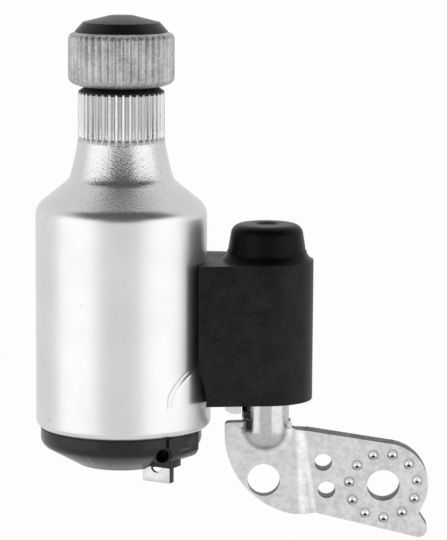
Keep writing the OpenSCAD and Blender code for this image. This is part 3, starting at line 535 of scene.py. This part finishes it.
@dataclass
class Bench:
    """Makes meshes about one upright axis and turns them into finished pieces."""

    axis: Vector
    body: Body | None

    def lathe(self, outline: list[Pair], steps: int = 144) -> bmesh.types.BMesh:
        """Turns a closed outline about the axis.

        Args:
            outline: Radius and height of each corner, in order round the section.
            steps: Faces round the axis.

        Returns:
            The turned mesh, in millimetres about the axis.
        """
        mesh = bmesh.new()
        corners = [mesh.verts.new((r, 0.0, z)) for r, z in outline]
        runs = [mesh.edges.new(pair) for pair in zip(corners, corners[1:] + corners[:1])
                if max(pair[0].co.x, pair[1].co.x) > 0.0]
        bmesh.ops.spin(mesh, geom=corners + runs, cent=(0, 0, 0), axis=(0, 0, 1), angle=tau, steps=steps,
                       use_merge=True)
        bmesh.ops.remove_doubles(mesh, verts=mesh.verts, dist=SAME_CORNER)
        bmesh.ops.recalc_face_normals(mesh, faces=mesh.faces)
        return mesh

    @staticmethod
    def soften(mesh: bmesh.types.BMesh, width: float, angle: float = 28.0, segments: int = 3) -> None:
        """Rounds the edges that bend more than an angle in degrees, over a width in the mesh's own units."""
        sharp = [e for e in mesh.edges if len(e.link_faces) == 2 and e.calc_face_angle(0.0) > radians(angle)]
        bmesh.ops.bevel(mesh, geom=sharp, offset=width, offset_type="OFFSET", segments=segments, profile=0.5,
                        affect="EDGES", clamp_overlap=True, material=-1)

    def finish(self, mesh: bmesh.types.BMesh, name: str, finish: Finish, node: str, in_frame: bool = False,
               smooth: float = 32.0) -> bpy.types.Object:
        """Puts a mesh in its place as a piece that stands for a CAD node.

        Args:
            mesh: The mesh, freed here.
            name: The piece's name.
            finish: Its finish.
            node: The CAD node that it replaces.
            in_frame: Whether the mesh is already in metres in the frame.
            smooth: Edges up to this bend are shaded smooth, in degrees.

        Returns:
            The piece.
        """
        if not in_frame:
            bmesh.ops.scale(mesh, vec=(MM, MM, MM), verts=mesh.verts)
            bmesh.ops.translate(mesh, vec=self.axis, verts=mesh.verts)
        for face in mesh.faces:
            face.smooth = True
        for edge in mesh.edges:
            edge.smooth = edge.calc_face_angle(0.0) < radians(smooth)
        data = bpy.data.meshes.new(name)
        mesh.to_mesh(data)
        mesh.free()
        piece = hang(name, data)
        data.materials.append(finish.material())
        if self.body is not None:
            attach(piece, self.body.value)
        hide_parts(node)
        LOG.info("%s: %d faces", name, len(data.polygons))
        return piece


def rounded_copy(bench: Bench, node: bpy.types.Object, finish: Finish, width: float) -> bpy.types.Object:
    """Copies a CAD node, merges its triangles into whole faces and rounds its edges.

    Args:
        bench: The bench of the body that it rides on.
        node: The CAD node.
        finish: The finish of the copy.
        width: Reach of the rounding, in millimetres.

    Returns:
        The piece.
    """
    mesh = bmesh.new()
    mesh.from_mesh(node.data)
    bmesh.ops.remove_doubles(mesh, verts=mesh.verts, dist=CAD_SAME_CORNER * MM)
    bmesh.ops.dissolve_degenerate(mesh, edges=mesh.edges, dist=CAD_SLIVER * MM)
    bmesh.ops.dissolve_limit(mesh, angle_limit=radians(CAD_FLAT), verts=mesh.verts, edges=mesh.edges)
    Bench.soften(mesh, width * MM, CAD_SHARP)
    return bench.finish(mesh, node.name + "_rounded", finish, node.name, in_frame=True)


def refinish(piece: bpy.types.Object, finish: Finish, picks: Callable[[Vector, Vector], bool]) -> None:
    """Gives some faces of a piece a second finish.

    Args:
        piece: The finished piece.
        finish: The second finish.
        picks: Says from a face's centre and normal whether it takes the second finish.
    """
    piece.data.materials.append(finish.material())
    slot = len(piece.data.materials) - 1
    for face in piece.data.polygons:
        if picks(face.center, face.normal):
            face.material_index = slot


def dress(node: bpy.types.Object, finish: Finish) -> None:
    """Gives a CAD node that is shown as it is its finish.

    Args:
        node: The CAD node.
        finish: Its finish.
    """
    node.data.materials.clear()
    node.data.materials.append(finish.material())
    LOG.info("%s: dressed as %s", node.name, finish.name)


# Sub-assemblies


@dataclass
class Casing:
    """The drawn aluminium bottle with its pad and fluted neck."""

    bench: Bench
    radius: float = 19.0
    rim_radius: float = 18.0
    rim_drop: float = 1.5
    rim_steps: int = 8
    side_height: float = 45.8
    shoulder_radius: float = 4.0
    shoulder_slope: float = 39.0
    shoulder_steps: int = 9
    wall: float = 1.2
    ledge: float = 1.4
    ledge_levels: Pair = (1.2, -0.8)
    hem: Pair = (0.05, -0.2)
    neck_foot: Pair = (11.6, 53.7)
    neck_wall: Pair = (2.0, 0.5)
    neck_land: float = 1.7
    neck_steps: int = 9
    neck_fillet: Corners = ((1.0, -0.8), (0.42, -0.28), (0.02, 0.25), (-0.26, 0.95))
    mouth_edge: Corners = ((0.0, -0.5), (-0.06, -0.12), (-0.3, 0.0))
    mouth_edge_reach: float = 0.35
    flute_level: float = 62.7
    flute_height: float = 10.5
    flute_run: float = 0.5
    run_steps: int = 5
    neck_radius: float = 9.6
    neck_slope: float = 0.14
    flute_depth: float = 0.55
    flute_floor: float = 1.25
    flutes: int = 38
    faces_per_flute: int = 10
    bore: float = 6.5
    pad_rise: float = 1.0
    pad_start: float = 55.0
    pad_half_width: float = 15.5
    pad_top: float = 13.5
    pad_margin: float = 2.0
    pad_corner: float = 8.0
    pad_edge: float = 1.3
    crease_depth: float = 0.2
    crease_width: float = 0.5
    crease_end: float = 3.0
    pad_rows: int = 60

    def build(self) -> None:
        """Builds the casing and dresses it."""
        mesh = self.bench.lathe(self._outline(), self.flutes * self.faces_per_flute)
        self._raise_pad(mesh)
        self._press_flutes(mesh)
        self.bench.finish(mesh, "casing_shell", CASING, "casing", smooth=38.0)

    def _outline(self) -> list[Pair]:
        """The casing's section, from the rolled edge up the outside and down the inside.

        Returns:
            Radius and height of each corner.
        """
        roll_radius = ((self.radius - self.rim_radius) ** 2 + self.rim_drop ** 2) / (
            2.0 * (self.radius - self.rim_radius))
        outside = arc((self.radius - roll_radius, 0.0), roll_radius, -asin(self.rim_drop / roll_radius), 0.0,
                      self.rim_steps)[:-1]
        top = self.pad_top + self.pad_margin
        outside += [(self.radius, top * i / self.pad_rows) for i in range(self.pad_rows + 1)]
        outside += arc((self.radius - self.shoulder_radius, self.side_height), self.shoulder_radius, 0.0,
                       radians(90.0 - self.shoulder_slope), self.shoulder_steps)
        foot_r, foot_z = self.neck_foot
        outside += [(foot_r + r, foot_z + z) for r, z in self.neck_fillet]
        drop = self.flute_level - foot_z
        sweep = (foot_r - self.neck_radius) / drop - self.neck_slope
        for low in (drop * i / self.neck_steps for i in range(self.neck_steps - 2, 0, -1)):
            radius = self.neck_radius + self.neck_slope * low + sweep * low * low / drop
            outside.append((radius, self.flute_level - low))
        outside += [(self.neck_radius, self.flute_level + self.flute_run * i / self.run_steps)
                    for i in range(self.run_steps + 1)]
        end = self.flute_level + self.flute_height
        outside += [(self.neck_radius + r, end + z) for r, z in self.mouth_edge]
        inner = self.radius - self.wall
        above, below = (self.side_height + level for level in self.ledge_levels)
        inside = [(self.bore, end), (self.bore, foot_z + self.neck_land),
                  (foot_r - self.neck_wall[0], foot_z - self.neck_wall[1]), (inner - self.ledge, above),
                  (inner - self.ledge, below), (inner, below), (inner, self.hem[1]),
                  (self.rim_radius - self.wall + self.hem[0], -self.rim_drop)]
        return outside + inside

    def _raise_pad(self, mesh: bmesh.types.BMesh) -> None:
        """Pushes out the pad that stiffens the side next to the hinge.

        Args:
            mesh: The turned casing.
        """
        grown = self.radius + self.pad_rise
        start = self.radius * cos(radians(self.pad_start))
        shift = (grown ** 2 - self.radius ** 2) / (2.0 * (grown - start))
        top = self.pad_top + self.pad_margin
        for vert in mesh.verts:
            flat = vert.co.xy
            if flat.x < start or flat.length < self.rim_radius - NEAR or vert.co.z > top:
                continue
            side = flat.y / flat.length
            reach = shift * flat.x / flat.length + sqrt((grown - shift) ** 2 - (shift * side) ** 2)
            depth = self._depth_in_pad(abs(flat.y), vert.co.z)
            share = held(depth / self.pad_edge + 0.5)
            lift = max(0.0, reach - self.radius) * share * share * (3.0 - 2.0 * share)
            crease = self.crease_depth * max(0.0, 1.0 - (depth / self.crease_width) ** 2)
            crease *= held(vert.co.z / self.crease_end - 1.0)
            vert.co.xy += flat.normalized() * (lift - crease)

    def _depth_in_pad(self, across: float, height: float) -> float:
        """How far a point is inside the pad's rounded outline, negative where it is outside."""
        beyond = Vector((max(0.0, across - (self.pad_half_width - self.pad_corner)),
                         max(0.0, height - (self.pad_top - self.pad_corner))))
        return self.pad_corner - beyond.length

    def _press_flutes(self, mesh: bmesh.types.BMesh) -> None:
        """Draws in the grooves between the neck's ribs.

        Args:
            mesh: The turned casing.
        """
        low, high = self.flute_level, self.flute_level + self.flute_height + NEAR
        for vert in mesh.verts:
            radius = vert.co.xy.length
            if radius < self.neck_radius - self.mouth_edge_reach or not low < vert.co.z < high:
                continue
            wave = 0.5 - 0.5 * cos(tau * turns_round(vert.co) * self.flutes)
            run = min(1.0, (vert.co.z - low) / self.flute_run)
            vert.co.xy *= 1.0 - self.flute_depth * run * min(1.0, self.flute_floor * wave) / radius


@dataclass
class NeckSeal:
    """The black cone in the neck's mouth."""

    bench: Bench
    foot: float = 73.2
    height: float = 0.7
    foot_radius: float = 9.45
    skirt: Corners = ((-0.3, 0.0), (-0.06, -0.45), (0.0, -0.45), (0.0, 0.1))
    top_radius: float = 8.5
    plug_radius: float = 6.45
    plug: float = 1.0
    bore: float = 2.8
    steps: int = 96

    def build(self) -> None:
        """Builds the seal and dresses it."""
        foot, top = self.foot, self.foot + self.height
        mesh = self.bench.lathe([
            (self.bore, foot - self.plug), (self.plug_radius, foot - self.plug), (self.plug_radius, foot),
            *[(self.foot_radius + r, foot + z) for r, z in self.skirt], (self.top_radius, top),
            (self.bore, top)], self.steps)
        self.bench.finish(mesh, "neck_seal_cone", RUBBER, "neck_seal")


@dataclass
class Roller:
    """The ridged drive roller and its pressed-in cap."""

    bench: Bench
    foot: float = 74.3
    height: float = 12.0
    radius: float = 11.7
    ridge_depth: float = 0.38
    ridge_slope: float = 2.3
    ridge_gap: float = 1.1
    ridge_reach: float = 0.4
    ridge_margins: Pair = (0.6, 0.3)
    low_fade: float = 0.5
    high_fade: float = 0.3
    foot_edge: Corners = ((-3.4, 0.0), (-1.9, 0.25), (-0.88, 0.7), (-0.23, 1.3), (0.0, 1.9))
    top_edge: Corners = ((0.0, -1.5), (-0.15, -0.95), (-0.48, -0.5))
    ridges: int = 42
    faces_per_ridge: int = 8
    recess_radius: float = 7.6
    recess_depth: float = 5.3
    shaft_radius: float = 2.5
    thread_radius: float = 2.0
    thread_foot: float = 1.0
    cap_radius: float = 10.2
    cap_profile: Corners = ((1.0, 0.15), (0.83, 2.088), (0.26, 3.55), (0.0, 3.6))
    cap_hollow: float = 0.9
    cap_break: float = 0.1
    cap_round: float = 0.55
    plug: float = 5.0
    plug_gap: float = 0.05
    plug_wall: float = 1.15
    cap_steps: int = 120

    def build(self) -> None:
        """Builds the roller and the cap."""
        self._build_roller()
        self._build_cap()

    def _build_roller(self) -> None:
        """Builds the roller, with rounded shoulders above and below its ridges."""
        foot, top = self.foot, self.foot + self.height
        outline = [(self.shaft_radius, foot)]
        outline += [(self.radius + r, foot + z) for r, z in self.foot_edge]
        outline += [(self.radius + r, top + z) for r, z in self.top_edge]
        outline += [
            (self.cap_radius, top), (self.recess_radius, top), (self.recess_radius, top - self.recess_depth),
            (self.thread_radius, top - self.recess_depth), (self.thread_radius, foot + self.thread_foot),
            (self.shaft_radius, foot + self.thread_foot)]
        mesh = self.bench.lathe(outline, self.ridges * self.faces_per_ridge)
        low, high = foot + self.ridge_margins[0], top - self.ridge_margins[1]
        inner = self.radius - self.ridge_depth - self.ridge_reach
        for vert in mesh.verts:
            radius = vert.co.xy.length
            if radius < inner or not low < vert.co.z < high:
                continue
            wave = abs(2.0 * (turns_round(vert.co) * self.ridges % 1.0) - 1.0)
            depth = held(self.ridge_slope * wave - self.ridge_gap) * self.ridge_depth
            fade = held((vert.co.z - low) / self.low_fade) * held((high - vert.co.z) / self.high_fade)
            vert.co.xy *= 1.0 - depth * fade / radius
        self.bench.finish(mesh, "ridged_roller", ROLLER, "drive_roller", smooth=42.0)

    def _build_cap(self) -> None:
        """Builds the cap: a plug ring, a steep rim and a shallow cone with a flat tip."""
        top = self.foot + self.height
        plug = self.recess_radius - self.plug_gap
        mesh = self.bench.lathe([
            (plug - self.plug_wall, top - self.plug), (plug, top - self.plug), (plug, top),
            (self.cap_radius, top), *[(self.cap_radius * r, top + z) for r, z in self.cap_profile],
            (0.0, top + self.cap_hollow), (plug - self.plug_wall, top + self.cap_hollow)], self.cap_steps)
        self.bench.soften(mesh, self.cap_break, angle=60.0)
        self.bench.soften(mesh, self.cap_round, angle=14.0, segments=4)
        self.bench.finish(mesh, "roller_cap_cone", CAP, "roller_cap", smooth=50.0)


@dataclass
class ReleaseButton:
    """The domed push button and the flared collar that it slides in."""

    collar_bench: Bench
    button_bench: Bench
    deck: float = 36.0
    collar_radius: float = 10.1
    collar_height: float = 2.0
    collar_lip: float = 0.12
    flare_power: float = 1.8
    flare_steps: int = 8
    spigot_radius: float = 9.58
    spigot: float = 1.4
    bore: float = 8.7
    stem_radius: float = 8.6
    stem_reach: float = 0.4
    face_radius: float = 8.05
    face_round: float = 2.3
    face_turns: Pair = (5.0, 80.0)
    face_drop: float = 0.15
    height: float = 8.1
    flange_radius: float = 9.2
    flange_low: float = 33.4
    flange_high: float = 34.5
    hollow_radius: float = 7.0
    hollow_taper: float = 0.1
    seat: float = 39.6
    dish: Corners = ((2.9, -0.05), (2.4, -0.2), (2.1, -0.45), (0.0, -0.5))
    edge_break: float = 0.1
    edge_steps: int = 8
    steps: int = 120

    def build(self) -> None:
        """Builds the collar and the button."""
        self._build_collar()
        self._build_button()

    def _build_collar(self) -> None:
        """Builds the flared collar."""
        low, top = self.deck - self.spigot, self.deck + self.collar_height
        foot = self.bore + self.collar_lip
        flare = [(foot + (self.collar_radius - foot) * (1.0 - i / self.flare_steps) ** self.flare_power,
                  self.deck + self.collar_height * i / self.flare_steps) for i in range(self.flare_steps + 1)]
        mesh = self.collar_bench.lathe([
            (self.bore, low), (self.spigot_radius, low), (self.spigot_radius, self.deck), *flare,
            (self.bore, top)], self.steps)
        self.collar_bench.finish(mesh, "button_collar_flare", BUTTON, "button_collar", smooth=50.0)

    def _build_button(self) -> None:
        """Builds the button: a stem with a retaining flange, a rounded face and a small dished centre."""
        top = self.deck + self.height
        centre = (self.face_radius - self.face_round, top - self.face_drop - self.face_round)
        rounding = arc(centre, self.face_round, *(radians(turn) for turn in self.face_turns), self.edge_steps)
        mesh = self.button_bench.lathe([
            (self.hollow_radius, self.flange_low), (self.flange_radius, self.flange_low),
            (self.flange_radius, self.flange_high), (self.stem_radius, self.flange_high),
            (self.stem_radius, self.deck + self.collar_height + self.stem_reach), *rounding,
            *[(r, top + z) for r, z in self.dish], (0.0, self.seat),
            (self.hollow_radius - self.hollow_taper, self.seat)], self.steps)
        self.button_bench.soften(mesh, self.edge_break, angle=60.0, segments=2)
        self.button_bench.finish(mesh, "release_button_dome", BUTTON, "release_button", smooth=50.0)


@dataclass
class CoilSpring:
    """A spring wound about an upright axis, turned out of the round section of its wire."""

    bench: Bench
    node: str
    radius: float
    wire: float
    low: float
    high: float
    turns: float
    inner_tang: float | None = None
    outer_tang: float | None = None
    places: int = 28
    sides: int = 12

    def build(self) -> bpy.types.Object:
        """Winds the spring and dresses it.

        Returns:
            The piece.
        """
        mesh = bmesh.new()
        section = bmesh.ops.create_circle(mesh, cap_ends=True, segments=self.sides, radius=self.wire / 2.0)
        turn = Matrix.Rotation(pi / 2.0, 3, "X")
        bmesh.ops.rotate(mesh, cent=(0, 0, 0), matrix=turn, verts=section["verts"])
        bmesh.ops.translate(mesh, vec=(self.radius, 0.0, self.low), verts=section["verts"])
        steps = int(self.places * self.turns)
        rise = (self.high - self.low) / steps
        geom = mesh.faces[:] + mesh.edges[:] + mesh.verts[:]
        bmesh.ops.spin(mesh, geom=geom, cent=(0, 0, 0), axis=(0, 0, 1), dvec=(0, 0, rise),
                       angle=tau * self.turns, steps=steps)
        for end, level in ((self.inner_tang, self.low), (self.outer_tang, self.high)):
            if end is not None:
                self._add_tang(mesh, end, level)
        bmesh.ops.recalc_face_normals(mesh, faces=mesh.faces)
        return self.bench.finish(mesh, self.node + "_coil", SPRING, self.node, smooth=60.0)

    def _add_tang(self, mesh: bmesh.types.BMesh, end: float, level: float) -> None:
        """Adds a straight end of wire that points to or from the axis.

        Args:
            mesh: The spring's mesh.
            end: Distance of the tang's tip from the axis.
            level: Its height.
        """
        tang = bmesh.ops.create_cone(mesh, cap_ends=True, segments=self.sides, radius1=self.wire / 2.0,
                                     radius2=self.wire / 2.0, depth=abs(end - self.radius))
        bmesh.ops.rotate(mesh, cent=(0, 0, 0), matrix=Matrix.Rotation(pi / 2.0, 3, "Y"), verts=tang["verts"])
        bmesh.ops.translate(mesh, vec=((end + self.radius) / 2.0, 0.0, level), verts=tang["verts"])


@dataclass
class Springs:
    """The three springs: one about the hinge, one under the button and one on the terminal clip."""

    hinge_bench: Bench
    between_bodies: Bench
    hinge_radius: float = 4.9
    hinge_wire: float = 1.4
    hinge_turns: float = 5.0
    hinge_tangs: Pair = (1.4, 7.9)
    hinge_levels: Pair = (15.8, 24.3)
    hinge_grip: float = 0.8
    button_radius: float = 6.4
    button_wire: float = 0.9
    button_turns: float = 4.0
    button_levels: Pair = (31.6, 39.1)
    button_travel: float = 1.9
    clip_wire: float = 0.44
    clip_turns: float = 5.0
    clip_travel: float = 3.3
    clip_places: int = 20
    clip_sides: int = 8

    def build(self) -> None:
        """Builds the springs."""
        self._build_hinge_spring()
        self._build_button_spring()
        self._build_terminal_spring()

    def _build_hinge_spring(self) -> None:
        """Builds the torsion spring, whose inner tang reaches into the post and whose outer tang reaches out.
        """
        low, high = self.hinge_levels
        spring = CoilSpring(self.between_bodies, "hinge_spring", self.hinge_radius, self.hinge_wire, low,
                            high, self.hinge_turns, *self.hinge_tangs).build()
        axis = self.between_bodies.axis
        axis + Vector((0.0, 0.0, (low + self.hinge_grip) * MM))
        axis + Vector((0.0, 0.0, (high - self.hinge_grip) * MM))
        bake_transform(spring)

    def _build_button_spring(self) -> None:
        """Builds the spring under the button."""
        spring = CoilSpring(self.hinge_bench, "button_spring", self.button_radius, self.button_wire,
                            *self.button_levels, self.button_turns).build()
        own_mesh(spring)

    def _build_terminal_spring(self) -> None:
        """Builds the small spring that holds the terminal clip down."""
        low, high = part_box("terminal_spring")
        bench = Bench(middle("terminal_spring", low.z), Body.DYNAMO)
        half = self.clip_wire / 2.0
        radius, top = (high.x - low.x) / MM / 2.0 - half, (high.z - low.z) / MM - half
        spring = CoilSpring(bench, "terminal_spring", radius, self.clip_wire, half, top, self.clip_turns,
                            places=self.clip_places, sides=self.clip_sides).build()
        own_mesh(spring)


@dataclass
class WeldFillets:
    """The run of weld that blends the post's domed foot into both faces of the bracket."""

    bench: Bench
    dome_radius: float = 5.3
    dome_level: float = -2.0
    plate_half: float = 1.5
    fillet: float = 2.0
    root_in_dome: Pair = (0.3, 0.1)
    root_in_plate: float = 0.2
    arc_steps: int = 8
    steps: int = 48

    def build(self) -> None:
        """Turns the fillet's section half round the foot, mirrors it to the back and dresses it."""
        mesh = bmesh.new()
        corners = [mesh.verts.new((r, -h, self.dome_level)) for r, h in self._section()]
        face = mesh.faces.new(corners)
        bmesh.ops.spin(mesh, geom=[face] + mesh.edges[:] + mesh.verts[:], cent=(0, 0, self.dome_level),
                       axis=(0, 1, 0), angle=pi, steps=self.steps)
        geom = mesh.faces[:] + mesh.edges[:] + mesh.verts[:]
        bmesh.ops.mirror(mesh, geom=geom, matrix=Matrix.Identity(4), merge_dist=0.0, axis="Y")
        bmesh.ops.recalc_face_normals(mesh, faces=mesh.faces)
        self.bench.finish(mesh, "weld_fillets", ZINC, "weld_beads", smooth=50.0)

    def _section(self) -> list[Pair]:
        """The fillet's section: a hollow arc from the plate up to the dome, and a root inside both.

        Returns:
            Distance from the dome's centre line and height above the plate's middle plane of each corner.
        """
        reach = self.dome_radius + self.fillet
        level = self.plate_half + self.fillet
        fillet = arc((sqrt(reach ** 2 - level ** 2), level), self.fillet, -pi / 2.0, asin(level / reach) - pi,
                     self.arc_steps)
        root_x, root_z = fillet[-1][0] - self.root_in_dome[0], fillet[-1][1] - self.root_in_dome[1]
        sunk = self.plate_half - self.root_in_plate
        return fillet + [(root_x, root_z), (root_x, sunk), (fillet[0][0], sunk)]


@dataclass
class Remaining:
    """The CAD nodes that keep their own shape, with rounded edges where they show."""

    benches: dict[Body, Bench]
    nodes: dict[str, bpy.types.Object]
    end_lean: float = 8.0
    dimple_ring: float = 7.7 * MM
    dimple_reach: float = 1.6 * MM
    dimple_tilt: Pair = (0.2, 0.985)
    edge_tilt: float = 0.5
    clip_end_tilt: float = 0.7
    rounded: dict[str, tuple[Body, Finish, float]] = field(default_factory=lambda: {
        "bracket_plate": (Body.BRACKET, ZINC, 0.28),
        "hinge_housing": (Body.DYNAMO, HOUSING, 0.35),
        "base_cap": (Body.DYNAMO, BASE, 0.22),
        "latch_plate": (Body.BUTTON, BRIGHT, 0.15),
        "terminal_clip": (Body.CLIP, CLIP, 0.12),
    })
    plain: dict[str, Finish] = field(default_factory=lambda: {
        "hinge_post": POST, "thrust_washer": BRONZE, "spindle_washer": BRIGHT, "spindle_circlip": SPRING,
        "base_gasket": RUBBER, "thrust_pad": NYLON, "lower_bearing": BRONZE, "upper_bearing": BRONZE,
        "yoke_ring": ZINC, "upper_claws": ZINC, "lower_claws": ZINC, "bobbin": NYLON, "winding": COPPER,
        "terminal_contact": BRASS, "housing_screws": BRIGHT, "hinge_bush": BRONZE, "rotor_shaft": BRIGHT,
        "magnet_hub": NYLON, "rotor_magnet": FERRITE, "shaft_circlip": SPRING, "lock_washer": SPRING,
        "roller_nut": BRIGHT,
    })

    def _in_dimple(self, centre: Vector, normal: Vector) -> bool:
        """Whether a face is in one of the round dimples about the bolt hole.

        Args:
            centre: The face's centre.
            normal: The face's normal.

        Returns:
            True in a dimple.
        """
        least, most = self.dimple_tilt
        tilt = -normal.y * cos(radians(self.end_lean)) - normal.z * sin(radians(self.end_lean))
        return abs(centre.length - self.dimple_ring) < self.dimple_reach and least < tilt < most

    def build(self) -> None:
        """Rounds the nodes that show and dresses the rest."""
        copies = {name: rounded_copy(self.benches[body], self.nodes[name], finish, width)
                  for name, (body, finish, width) in self.rounded.items()}
        # The bracket's edges and hole walls take the darker sheared finish, which is partly painted shade.
        refinish(copies["bracket_plate"], SHEARED_EDGE_SHADE, lambda _, normal: abs(normal.y) < self.edge_tilt)
        refinish(copies["bracket_plate"], PUNCHED, self._in_dimple)
        # The clip's right-facing end takes the painted shade finish.
        refinish(copies["terminal_clip"], CLIP_END_SHADE, lambda _, normal: normal.x > self.clip_end_tilt)
        for name, finish in self.plain.items():
            dress(self.nodes[name], finish)


# The studio


@dataclass(frozen=True)
class Gap:
    """A dark gap in the white surround, as soft limits on a direction. A fall above 1 leaves its top open."""

    across: Pair
    behind: Pair
    rise: Pair
    fall: Pair = (1.5, 2.0)


@dataclass
class Studio:
    """The camera, the lights and the pale floor and background."""

    target: Vector = field(default_factory=lambda: Vector((-0.0363, -0.00264, 0.0489)))
    distance: float = 0.620
    pitch: float = 8.9
    roll: float = 0.35
    lens: float = 186.0
    floor_drop: float = 0.5
    floor_size: float = 12.0
    fill: float = 0.62
    surround: float = 0.985
    gap_tone: float = 0.02
    gap_middle: float = 0.08
    gaps: tuple[Gap, Gap] = (Gap((0.36, 0.52), (-0.1, 0.2), (0.19, 0.27)),
                             Gap((0.7, 0.98), (-0.12, 0.05), (0.36, 0.5), (0.86, 0.97)))
    paper: float = 0.82
    floor_glow: float = 0.96
    lamp_turn: float = 60.0
    lamp_distance: float = 1.1
    lamp_size: Pair = (1.25, 1.0)
    lamp_watts: float = 2.7

    def build(self) -> None:
        """Sets up everything round the object."""
        self._place_camera()
        self._fill_world()
        self._lay_floor()
        self._hang_softbox("softbox_left", -self.lamp_turn)
        self._hang_softbox("softbox_right", self.lamp_turn)
        bpy.context.scene.view_settings.view_transform = "Standard"

    def _place_camera(self) -> None:
        """Puts the camera where the photograph was taken from."""
        pitch, roll = radians(self.pitch), radians(self.roll)
        forward = Vector((0.0, cos(pitch), -sin(pitch)))
        side = Vector((1.0, 0.0, 0.0))
        upward = side.cross(forward)
        right = cos(roll) * side + sin(roll) * upward
        above = cos(roll) * upward - sin(roll) * side
        data = bpy.data.cameras.new("photo_camera")
        data.lens = self.lens
        camera = hang("photo_camera", data)
        turn = Matrix((right, above, -forward)).transposed().to_4x4()
        camera.matrix_world = Matrix.Translation(self.target - forward * self.distance) @ turn
        bpy.context.scene.camera = camera

    def _fill_world(self) -> None:
        """Fills the world: a white surround with a dark gap behind the camera, under a wider one higher up.

        Only direct rays see the surround. All other light from the world is one even grey.
        """
        world = bpy.data.worlds.new("studio")
        bpy.context.scene.world = world
        world.use_nodes = True
        graph = Graph(world.node_tree)
        ways = graph.node("ShaderNodeTexCoord", output="Generated")
        side, back, height = (graph.along(i, ways) for i in range(3))
        off_middle = graph.node("ShaderNodeMath", {"operation": "ABSOLUTE"}, {0: side - self.gap_middle})
        masks = [graph.band(height, gap.rise, gap.fall) * (1.0 - graph.ramp(off_middle, *gap.across))
                 * (1.0 - graph.ramp(back, *gap.behind)) for gap in self.gaps]
        room = graph.node("ShaderNodeMath", {"operation": "MAXIMUM"}, {0: masks[0], 1: masks[1]})
        seen = graph.blend(room, grey(self.surround), grey(self.gap_tone))
        colour = graph.blend(self._direct_rays(graph), grey(self.fill), seen)
        backdrop = graph.node("ShaderNodeBackground", None, {"Color": colour, "Strength": 1.0})
        graph.add("ShaderNodeOutputWorld", None, {"Surface": backdrop})

    @staticmethod
    def _direct_rays(graph: Graph) -> Wire:
        """One for the rays that see the surround: the camera's, and those off gloss and through glass."""
        masks = [graph.node("ShaderNodeLightPath", output=name)
                 for name in ("Is Camera Ray", "Is Glossy Ray", "Is Transmission Ray")]
        return graph.node("ShaderNodeMath", {"operation": "ADD", "use_clamp": True},
                          {0: masks[0] + masks[1], 1: masks[2]})

    def _lay_floor(self) -> None:
        """Lays the pale floor below the object. It shows white and still takes the object's shadow."""
        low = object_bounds()[0]
        mesh = bmesh.new()
        bmesh.ops.create_grid(mesh, x_segments=1, y_segments=1, size=self.floor_size / 2.0)
        bmesh.ops.translate(mesh, vec=(0.0, 0.0, low[2] - self.floor_drop), verts=mesh.verts)
        data = bpy.data.meshes.new("floor")
        mesh.to_mesh(data)
        mesh.free()
        floor = hang("floor", data)
        made = bpy.data.materials.new("floor_paper")
        made.use_nodes = True
        graph = Graph(made.node_tree)
        paper = graph.node("ShaderNodeBsdfDiffuse", None, {"Color": grey(self.paper)})
        glow = graph.node("ShaderNodeEmission", None, {"Color": grey(1.0), "Strength": 1.0})
        share = self._direct_rays(graph) * self.floor_glow
        both = graph.node("ShaderNodeMixShader", None, {0: share, 1: paper, 2: glow})
        graph.add("ShaderNodeOutputMaterial", None, {"Surface": both})
        data.materials.append(made)
        floor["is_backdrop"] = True

    def _hang_softbox(self, name: str, azimuth: float) -> None:
        """Hangs a soft rectangular lamp, level with the object, that looks at it.

        Args:
            name: The lamp's name.
            azimuth: Degrees to the right of the camera's side.
        """
        data = bpy.data.lights.new(name, "AREA")
        data.shape = "RECTANGLE"
        data.size, data.size_y = self.lamp_size
        data.energy = self.lamp_watts
        lamp = hang(name, data)
        way = Vector((sin(radians(azimuth)), -cos(radians(azimuth)), 0.0))
        lamp.location = self.target + way * self.lamp_distance
        lamp.rotation_euler = way.to_track_quat("Z", "Y").to_euler()


def main() -> None:
    """Loads the frame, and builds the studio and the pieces."""
    logging.basicConfig(level=logging.INFO, format="%(name)s: %(message)s")
    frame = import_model()
    Studio().build()
    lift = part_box("casing")[0].z + Casing.rim_drop * MM
    dynamo_axis, hinge_axis = middle("neck_seal", lift), middle("hinge_post", lift)
    axes = {Body.BRACKET: hinge_axis, Body.DYNAMO: dynamo_axis, Body.ROTOR: dynamo_axis,
            Body.BUTTON: hinge_axis, Body.CLIP: dynamo_axis}
    benches = {body: Bench(axis, body) for body, axis in axes.items()}
    Casing(benches[Body.DYNAMO]).build()
    NeckSeal(benches[Body.DYNAMO]).build()
    Roller(benches[Body.ROTOR]).build()
    hinge_on_dynamo = Bench(hinge_axis, Body.DYNAMO)
    ReleaseButton(hinge_on_dynamo, benches[Body.BUTTON]).build()
    Springs(hinge_on_dynamo, Bench(hinge_axis, None)).build()
    WeldFillets(benches[Body.BRACKET]).build()
    Remaining(benches, frame["nodes"]).build()


if __name__ == "__main__":
    main()
